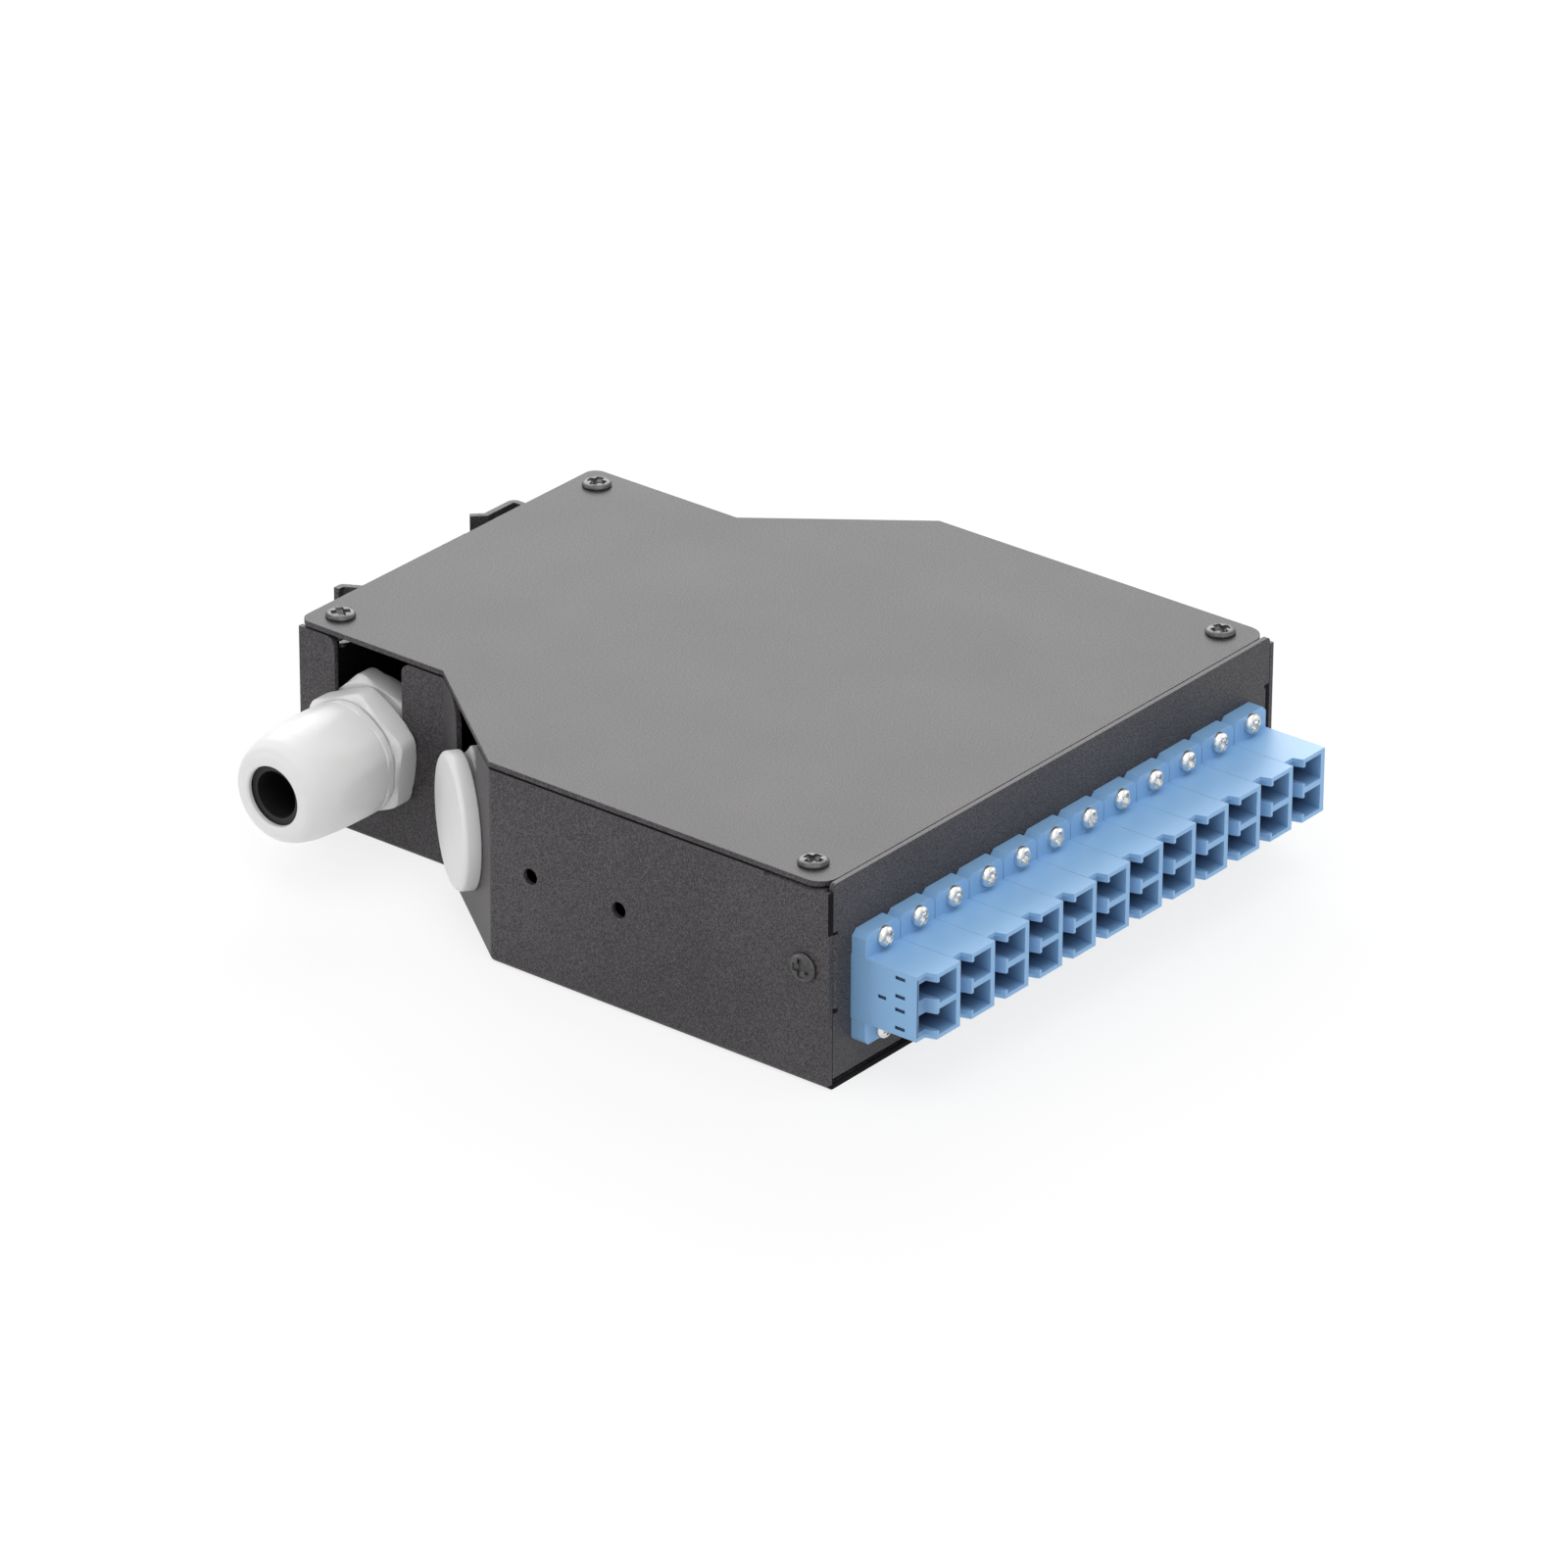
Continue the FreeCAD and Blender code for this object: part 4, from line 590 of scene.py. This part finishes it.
def recessed_screw(seat, way, head, rise, shank, reach, pitch, depth, turn):
    """Low-headed screw with a cross recess, as grids of points.

    The head's top rises by 0.58 times the square root of 1 minus the fourth power of the share of the radius.
    A square field of grid lines around the cross takes the recess out of it. Rings of the same points lead
    from the field's border over the head's side to the threaded shank.
    """
    wing = head * 0.115
    span = head * 0.30
    wall = head * 0.018
    half = head * 0.36
    lines = np.array([-half, -span - wall, -span, -wing * 2.0, -wing - wall, -wing, 0,
                      wing, wing + wall, wing * 2.0, span, span + wall, half])
    across, up = np.meshgrid(lines, lines, indexing="ij")
    near = np.minimum(np.abs(across), np.abs(up))
    far = np.maximum(np.abs(across), np.abs(up))
    inside = (near <= wing * 1.001) & (far <= span * 1.001)
    deep = rise * 0.85 * (1 - 0.62 * far / span)
    centre_dip = np.where(far <= wing * 1.001, rise * 0.15, 0)

    def crown(distance):
        share = np.clip(distance / (head / 2), 0, 1)
        return rise * (0.42 + 0.58 * np.sqrt(np.clip(1 - share ** 4, 0, 1)))

    height = crown(np.hypot(across, up)) - np.where(inside, deep + centre_dip, 0)
    edge_x, edge_y = lines[border_of(len(lines))]
    angle = np.arctan2(edge_y, edge_x)
    share = np.linspace(0, 1, 5)[:, None]
    top_x = edge_x * (1 - share) + head / 2 * np.cos(angle) * share
    top_y = edge_y * (1 - share) + head / 2 * np.sin(angle) * share
    steps = max(12, int(round(reach / pitch)) * 6)
    side = [(head / 2, rise * 0.2), (head / 2 * 0.985, 0.0), (shank, 0.0)]
    side += [(shank, -share * reach) for share in np.linspace(0, 1, steps)[1:-1]]
    side += [(shank * 0.75, -reach), (0.0, -reach)]
    radius, along = np.array(side).T[..., None]
    grooved = radius - depth * thread_wave(along, angle, pitch) * (along < -pitch / 2) * (radius == shank)
    rings_x = np.concatenate([top_x, grooved * np.cos(angle)])
    rings_y = np.concatenate([top_y, grooved * np.sin(angle)])
    rings_z = np.concatenate([crown(np.hypot(top_x, top_y)), np.broadcast_to(along, grooved.shape)])
    field = set_in_place(*spin(across, up, turn), height, seat, way)
    rings = set_in_place(*spin(rings_x, rings_y, turn), rings_z, seat, way)
    return [(field, False), (rings, True)]


def spin(across, up, turn):
    """Turn flat coordinates by an angle about their origin."""
    return (across * math.cos(turn) - up * math.sin(turn), across * math.sin(turn) + up * math.cos(turn))


def screw_set(node, line, turn):
    """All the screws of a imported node, which lie along line with their heads away from the origin.

    Their places, heads and lengths come from the node's solids. Each is turned by turn more than the last.
    """
    sizes = bpy.context.scene.fibre_box_sizes
    rise, shank = SCREW_FORMS[node]
    sheets = []
    for index, (low, high) in enumerate(solids_of(node)):
        middle = (low + high) / 2
        way = line * math.copysign(1, middle @ line)
        extent = high - low
        total = extent @ np.abs(way)
        head = extent[np.argmin(np.abs(way))]
        seat = middle + way * (total / 2 - rise)
        sheets += recessed_screw(seat, way, head, rise, shank, total - rise, sizes.small_pitch,
                                 sizes.small_depth, turn * index)
    return add_piece(node[:-1] + "_set", sheets, [node], slot_of(node))


class FIBREBOX_OT_sheet_metal(bpy.types.Operator):
    """Powder coat on the case, the lid, the front panel and the other folded sheets"""
    bl_idname = "fibre_box.sheet_metal"
    bl_label = "Sheet metal"

    def execute(self, context):
        paint("grey_powder")
        return {"FINISHED"}


class FIBREBOX_OT_screws(bpy.types.Operator):
    """Low-headed screws with cross recesses, and the finishes of all the metal fixings"""
    bl_idname = "fibre_box.screws"
    bl_label = "Screws"

    def execute(self, context):
        paint("black_screw", "plated_steel", "spring_steel")
        screw_set("lid_screws", Z_WAY, 0.9)
        screw_set("panel_screws", X_WAY, 0.4)
        screw_set("adapter_screws", Y_WAY, 0.7)
        screw_set("clip_screws", Y_WAY, 0.5)
        screw_set("tray_screws", Z_WAY, 0.6)
        return {"FINISHED"}


class FIBREBOX_OT_adapters(bpy.types.Operator):
    """Light blue moulded housings and their ceramic sleeves"""
    bl_idname = "fibre_box.adapters"
    bl_label = "Adapters"

    def execute(self, context):
        paint("blue_plastic", "ceramic")
        return {"FINISHED"}


def inner_end(node, way):
    """Point on a node's own axis where way, which is X or -X, enters the node."""
    low, high = corners_of(node)
    return (low + high) / 2 - way * ((high - low)[0] / 2)


def curve_rows(corners, round_off):
    """Rows of a turned surface, in metres, from corners in millimetres that are then rounded."""
    return [(radius, along) for radius, along in smooth_profile(np.array(corners) * MM, round_off)]


def thread_rows(radius, near, far, angle, sizes):
    """Rows of a threaded stretch from near to far: its radius dips by the thread's depth once in a pitch."""
    steps = int(abs(far - near) / sizes.thread_pitch * 6)
    rows = []
    for along in np.linspace(near, far, steps):
        wave = thread_wave(along, angle, sizes.thread_pitch)
        rows.append((radius - sizes.thread_depth * (1 - wave), along))
    return rows


def add_turned(name, node, rows, start, way, sharp=SHARP_ANGLE):
    """White piece of rings round way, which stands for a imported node."""
    grid = turned_rows(rows, ring_angles(), start, way)
    return add_piece(name, [(grid, True)], [node], "white_plastic", sharp)


def make_dome_nut(sizes):
    """Dome nut: a turned outline with a groove near its foot, a blunt nose and six soft flats.

    The radius is the smaller of the outline's and the hexagon's, with a smooth change-over between them.
    """
    outside = curve_rows([(10.9, 0.0), (11.45, 0.35), (11.45, 1.55), (11.1, 1.75), (11.1, 2.05), (11.55, 2.3),
                          (11.6, 5.0), (11.5, 8.5), (11.25, 12.0), (10.8, 15.5), (10.15, 18.5), (9.2, 20.6),
                          (8.2, 21.45), (7.2, 21.6)], 0.5 * MM)
    inside = curve_rows([(7.2, 21.6), (6.3, 21.6), (5.9, 21.3), (5.9, 20.45), (7.4, 20.4), (7.4, 8.9),
                         (8.6, 8.8), (8.6, 0.0), (10.9, 0.0)], 0.15 * MM)
    flat = flat_radius(ring_angles(), sizes.dome_flats, DOME_TURN)
    rows = [(soft_smaller(np.full_like(flat, radius), flat, sizes.dome_blend), along)
            for radius, along in outside]
    rows += inside[1:-1] + [rows[0]]
    start = inner_end("gland_dome_nut", -X_WAY)
    return add_turned("dome_nut", "gland_dome_nut", rows, start, -X_WAY, math.radians(50))


def chamfered_rows(corner, corners, round_off, start=0.0):
    """Rows whose radius is the smaller of a hexagon's and a turned outline's, moved along by start."""
    return [(soft_smaller(corner, np.full_like(corner, radius), 0.3 * MM), start + along)
            for radius, along in curve_rows(corners, round_off)]


def make_gland_body(sizes):
    """Hexagonal collar with rounded corners and a turned chamfer, a neck, and a threaded end in the case."""
    angle = ring_angles()
    bore, thread, neck_bore, neck = 5.3 * MM, 8.0 * MM, 7.35 * MM, 8.4 * MM
    wall, collar_end, seal_seat, neck_end = 11.0 * MM, 16.2 * MM, 21.2 * MM, 25.2 * MM
    corner = hexagon_radius(angle, sizes.hex_flats, COLLAR_TURN, sizes.hex_softness)
    rows = [(bore, 0.0), (thread - sizes.thread_depth, 0.0)]
    rows += thread_rows(thread, 0.4 * MM, wall - 0.2 * MM, angle, sizes)
    rows.append((thread, wall))
    collar = [(11.7, 0.0), (12.7, 0.5), (12.95, 2.6), (12.7, 4.3), (11.2, 5.2)]
    rows += chamfered_rows(corner, collar, 0.3 * MM, wall)
    rows += [(neck, collar_end), (neck, neck_end), (neck_bore, neck_end), (neck_bore, seal_seat),
             (bore, seal_seat), (bore, 0.0)]
    return add_turned("gland_collar", "gland_body", rows, inner_end("gland_body", -X_WAY), -X_WAY)


def slant_way():
    """Unit way out of the slanted left wall, which runs 23 mm across and 30.5 mm back."""
    across, back = 23.0, 30.5
    return np.array([-back, across, 0.0]) / math.hypot(across, back)


def make_plug(sizes):
    """Blanking plug: a low dome with a rounded rim, and a hollow threaded shank.

    It starts at the wall's outer face, half a locknut and one sheet out from the locknut's middle.
    """
    way = slant_way()
    start = middle_of("plug_locknut") + way * (2.5 * MM + SHEET)
    thread = 8.0 * MM
    rows = [(0.0, 0.0), (6.3 * MM, 0.0), (6.4 * MM, -10.0 * MM), (thread - sizes.thread_depth, -10.0 * MM)]
    rows += thread_rows(thread, -9.6 * MM, -0.8 * MM, ring_angles(), sizes)
    rows.append((thread, -0.6 * MM))
    rows += curve_rows([(8.0, 0.02), (12.75, 0.02), (12.9, 0.2), (12.9, 2.75), (12.1, 3.4), (6.0, 3.57),
                        (0.0, 3.6)], 0.4 * MM)
    return add_turned("plug_cap", "blanking_plug", rows, start, way)


def make_locknut(node, way, sizes):
    """Hexagonal locknut with soft corners, chamfered on both sides."""
    corner = hexagon_radius(ring_angles(), sizes.nut_flats, LOCKNUT_TURN, 0.25 * MM)
    rows = chamfered_rows(corner, [(8.06, -2.5), (12.0, -2.5), (13.7, -1.7), (13.7, 1.7), (12.0, 2.5),
                                   (8.06, 2.5)], 0.25 * MM)
    rows.append(rows[0])
    return add_turned(node + "_skin", node, rows, middle_of(node), way)


class FIBREBOX_OT_gland(bpy.types.Operator):
    """White cable gland, blanking plug and their locknuts"""
    bl_idname = "fibre_box.gland"
    bl_label = "Gland and plug"

    def execute(self, context):
        paint("white_plastic", "seal_rubber")
        sizes = context.scene.fibre_box_sizes
        make_dome_nut(sizes)
        make_gland_body(sizes)
        make_plug(sizes)
        make_locknut("gland_locknut", -X_WAY, sizes)
        make_locknut("plug_locknut", slant_way(), sizes)
        return {"FINISHED"}


def make_spring(sizes):
    """Latch spring: a circle of wire carried along a helix, with closed turns at both ends.

    The helix's middle line is its radius at an angle round X. Its place along X is the share of the angle
    less 0.11 times the sine of that share of a full turn, so that it climbs slowly at both ends.
    """
    low, high = corners_of("clip_spring")
    middle = (low + high) / 2
    size = (high - low)[0]
    wire = sizes.wire_radius
    turns, steps, points_round = 7, 220, 12
    coil = (high - low)[1] / 2 - wire
    share = np.linspace(0, 1, steps)[:, None]
    turn = share * 2 * np.pi * turns
    eased = share - 0.11 * np.sin(2 * np.pi * share)
    around = ring_angles(points_round)
    out = coil + wire * np.cos(around)
    along = low[0] + wire + eased * (size - 2 * wire) + wire * np.sin(around)
    points = np.stack([along, middle[1] + out * np.cos(turn), middle[2] + out * np.sin(turn)], axis=-1)
    first, last = [np.repeat(end.mean(axis=1, keepdims=True), points_round, axis=1)
                   for end in (points[:1], points[-1:])]
    grid = np.concatenate([first, points, last])
    spring = add_piece("latch_spring", [(grid, True)], ["clip_spring"], "spring_steel")
    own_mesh(spring)
    return spring


def make_rivets():
    """Shoulder rivets of the latch: each is a turned dome, a shank and a flat inner head."""
    sheets = []
    angle = ring_angles(48)
    for low, high in solids_of("clip_rivets"):
        middle = (low + high) / 2
        start = np.array([middle[0], low[1], middle[2]])
        total = (high - low)[1] / MM
        rows = curve_rows([(0.0, 0.0), (2.65, 0.0), (2.7, 0.25), (2.7, 0.9), (1.5, 0.9), (1.5, total - 0.9),
                           (2.7, total - 0.9), (2.7, total - 0.65), (2.1, total - 0.15), (0.0, total)],
                          0.12 * MM)
        sheets.append((turned_rows(rows, angle, start, Y_WAY), True))
    return add_piece("latch_rivets", sheets, ["clip_rivets"], "black_screw")


class FIBREBOX_OT_latch(bpy.types.Operator):
    """Spring and rivets of the rail latch"""
    bl_idname = "fibre_box.latch"
    bl_label = "Rail latch"

    def execute(self, context):
        make_spring(context.scene.fibre_box_sizes)
        make_rivets()
        return {"FINISHED"}


class FIBREBOX_OT_inside(bpy.types.Operator):
    """Splice tray and combs inside the case"""
    bl_idname = "fibre_box.inside"
    bl_label = "Inside"

    def execute(self, context):
        paint("tray_plastic", "comb_plastic")
        return {"FINISHED"}


def add_softbox(name, place, aim, size, strength):
    """Area light that faces aim. Its power is strength times its area, so strength is its brightness."""
    width, depth = size
    lamp = bpy.data.lights.new(name, "AREA")
    lamp.shape = "RECTANGLE"
    lamp.size = width
    lamp.size_y = depth
    lamp.energy = strength * width * depth
    holder = bpy.data.objects.new(name, lamp)
    turn = (Vector(place) - aim).to_track_quat("Z", "Y").to_matrix().to_4x4()
    holder.matrix_world = Matrix.Translation(place) @ turn
    bpy.context.scene.collection.objects.link(holder)


def add_camera(view, aim):
    """Camera at the photograph's place: turned about aim by azimuth and elevation, then moved aside."""
    back = Vector((math.sin(view.azimuth) * math.cos(view.elevation),
                   -math.cos(view.azimuth) * math.cos(view.elevation), math.sin(view.elevation)))
    level = Vector((math.cos(view.azimuth), math.sin(view.azimuth), 0))
    upright = back.cross(level)
    right = level * math.cos(view.roll) + upright * math.sin(view.roll)
    up = upright * math.cos(view.roll) - level * math.sin(view.roll)
    place = aim + back * view.distance + right * view.aim_across - up * view.aim_down
    camera = bpy.data.objects.new("camera", bpy.data.cameras.new("camera"))
    camera.data.lens = view.lens
    camera.data.sensor_width = 36.0
    camera.data.clip_end = 20.0
    turn = Matrix((right, up, back)).transposed().to_4x4()
    camera.matrix_world = Matrix.Translation(place) @ turn
    bpy.context.scene.collection.objects.link(camera)
    bpy.context.scene.camera = camera


# Rays that see the floor and the surroundings white
WHITE_RAYS = ("Is Camera Ray", "Is Glossy Ray", "Is Transmission Ray")


def add_floor(colours):
    """Pale floor at the base's level. The camera, mirrors and glass see it almost white, with the shadow."""
    edge = 4.0
    glow_share = 0.80
    mesh = bpy.data.meshes.new("floor")
    corners = [(-edge, -edge, 0), (edge, -edge, 0), (edge, edge, 0), (-edge, edge, 0)]
    mesh.from_pydata(corners, [], [(0, 1, 2, 3)])
    floor = bpy.data.objects.new("floor", mesh)
    bpy.context.scene.collection.objects.link(floor)
    finish = Finish("floor_paper")
    paper = finish.node("ShaderNodeBsdfDiffuse", None, {"Color": tone(colours.floor)})
    glow = finish.node("ShaderNodeEmission", None, {"Color": (1, 1, 1, 1), "Strength": 1.0})
    path = finish.node("ShaderNodeLightPath")
    camera, mirror, glass = [Number(finish, path.outputs[kind]) for kind in WHITE_RAYS]
    white = finish.spread(camera + mirror + glass, 0, 1) * glow_share
    mixed = finish.node("ShaderNodeMixShader", None, {0: white, 1: paper.outputs[0], 2: glow.outputs[0]})
    finish.node("ShaderNodeOutputMaterial", None, {"Surface": mixed.outputs[0]})
    mesh.materials.append(finish.material)


def set_sky(strength):
    """Pale surroundings that the camera, mirrors and glass see as plain white."""
    world = bpy.data.worlds.new("studio")
    bpy.context.scene.world = world
    world.use_nodes = True
    tree = world.node_tree
    tree.nodes.clear()
    path = tree.nodes.new("ShaderNodeLightPath")
    most = path.outputs[WHITE_RAYS[0]]
    for kind in WHITE_RAYS[1:]:
        either = tree.nodes.new("ShaderNodeMath")
        either.operation = "MAXIMUM"
        tree.links.new(most, either.inputs[0])
        tree.links.new(path.outputs[kind], either.inputs[1])
        most = either.outputs[0]
    level = tree.nodes.new("ShaderNodeMapRange")
    level.inputs["To Min"].default_value = strength
    level.inputs["To Max"].default_value = 1.0
    tree.links.new(most, level.inputs["Value"])
    glow = tree.nodes.new("ShaderNodeBackground")
    glow.inputs["Color"].default_value = (1, 1, 1, 1)
    tree.links.new(level.outputs[0], glow.inputs["Strength"])
    out = tree.nodes.new("ShaderNodeOutputWorld")
    tree.links.new(glow.outputs[0], out.inputs["Surface"])


class FIBREBOX_OT_stage(bpy.types.Operator):
    """Pale floor, soft studio lights and the camera"""
    bl_idname = "fibre_box.stage"
    bl_label = "Stage"

    def execute(self, context):
        scene = context.scene
        view = scene.fibre_box_view
        scene.view_settings.view_transform = "Standard"
        aim = Vector((-0.5 * MM, -6.75 * MM, 20 * MM))
        add_camera(view, aim)
        add_floor(scene.fibre_box_colours)
        set_sky(view.sky)
        for side, place, size in (("above", (-0.2, -0.1, 1.3), (1.4, 1.4)),
                                  ("behind", (0.95, 0.85, 0.75), (1.1, 0.8)),
                                  ("left", (-0.95, 0.95, 0.20), (0.7, 0.4)),
                                  ("front", (-0.5, -1.2, 0.8), (1.0, 0.8)),
                                  ("right", (0.42, -0.38, 0.16), (0.25, 0.25))):
            add_softbox("softbox_" + side, place, aim, size, getattr(view, side + "_light"))
        return {"FINISHED"}


class FIBREBOX_PT_panel(bpy.types.Panel):
    """Lists the steps that finish the fibre box"""
    bl_idname = "FIBREBOX_PT_panel"
    bl_label = "Fibre Box"
    bl_space_type = "VIEW_3D"
    bl_region_type = "UI"
    bl_category = "Fibre Box"

    def draw(self, context):
        for operator in OPERATORS:
            self.layout.operator(operator.bl_idname)


OPERATORS = (FIBREBOX_OT_sheet_metal, FIBREBOX_OT_screws, FIBREBOX_OT_adapters, FIBREBOX_OT_gland,
             FIBREBOX_OT_latch, FIBREBOX_OT_inside, FIBREBOX_OT_stage)
GROUPS = {"fibre_box_colours": FIBREBOX_PG_colours, "fibre_box_sizes": FIBREBOX_PG_sizes,
          "fibre_box_view": FIBREBOX_PG_view}


def register():
    for name, group in GROUPS.items():
        bpy.utils.register_class(group)
        setattr(bpy.types.Scene, name, PointerProperty(type=group))
    for kind in OPERATORS + (FIBREBOX_PT_panel,):
        bpy.utils.register_class(kind)


def unregister():
    for kind in reversed(OPERATORS + (FIBREBOX_PT_panel,)):
        bpy.utils.unregister_class(kind)
    for name, group in reversed(GROUPS.items()):
        delattr(bpy.types.Scene, name)
        bpy.utils.unregister_class(group)


def main():
    register()
    bpy.ops.fibre_box.sheet_metal()
    bpy.ops.fibre_box.screws()
    bpy.ops.fibre_box.adapters()
    bpy.ops.fibre_box.gland()
    bpy.ops.fibre_box.latch()
    bpy.ops.fibre_box.inside()
    bpy.ops.fibre_box.stage()


if __name__ == "__main__":
    main()
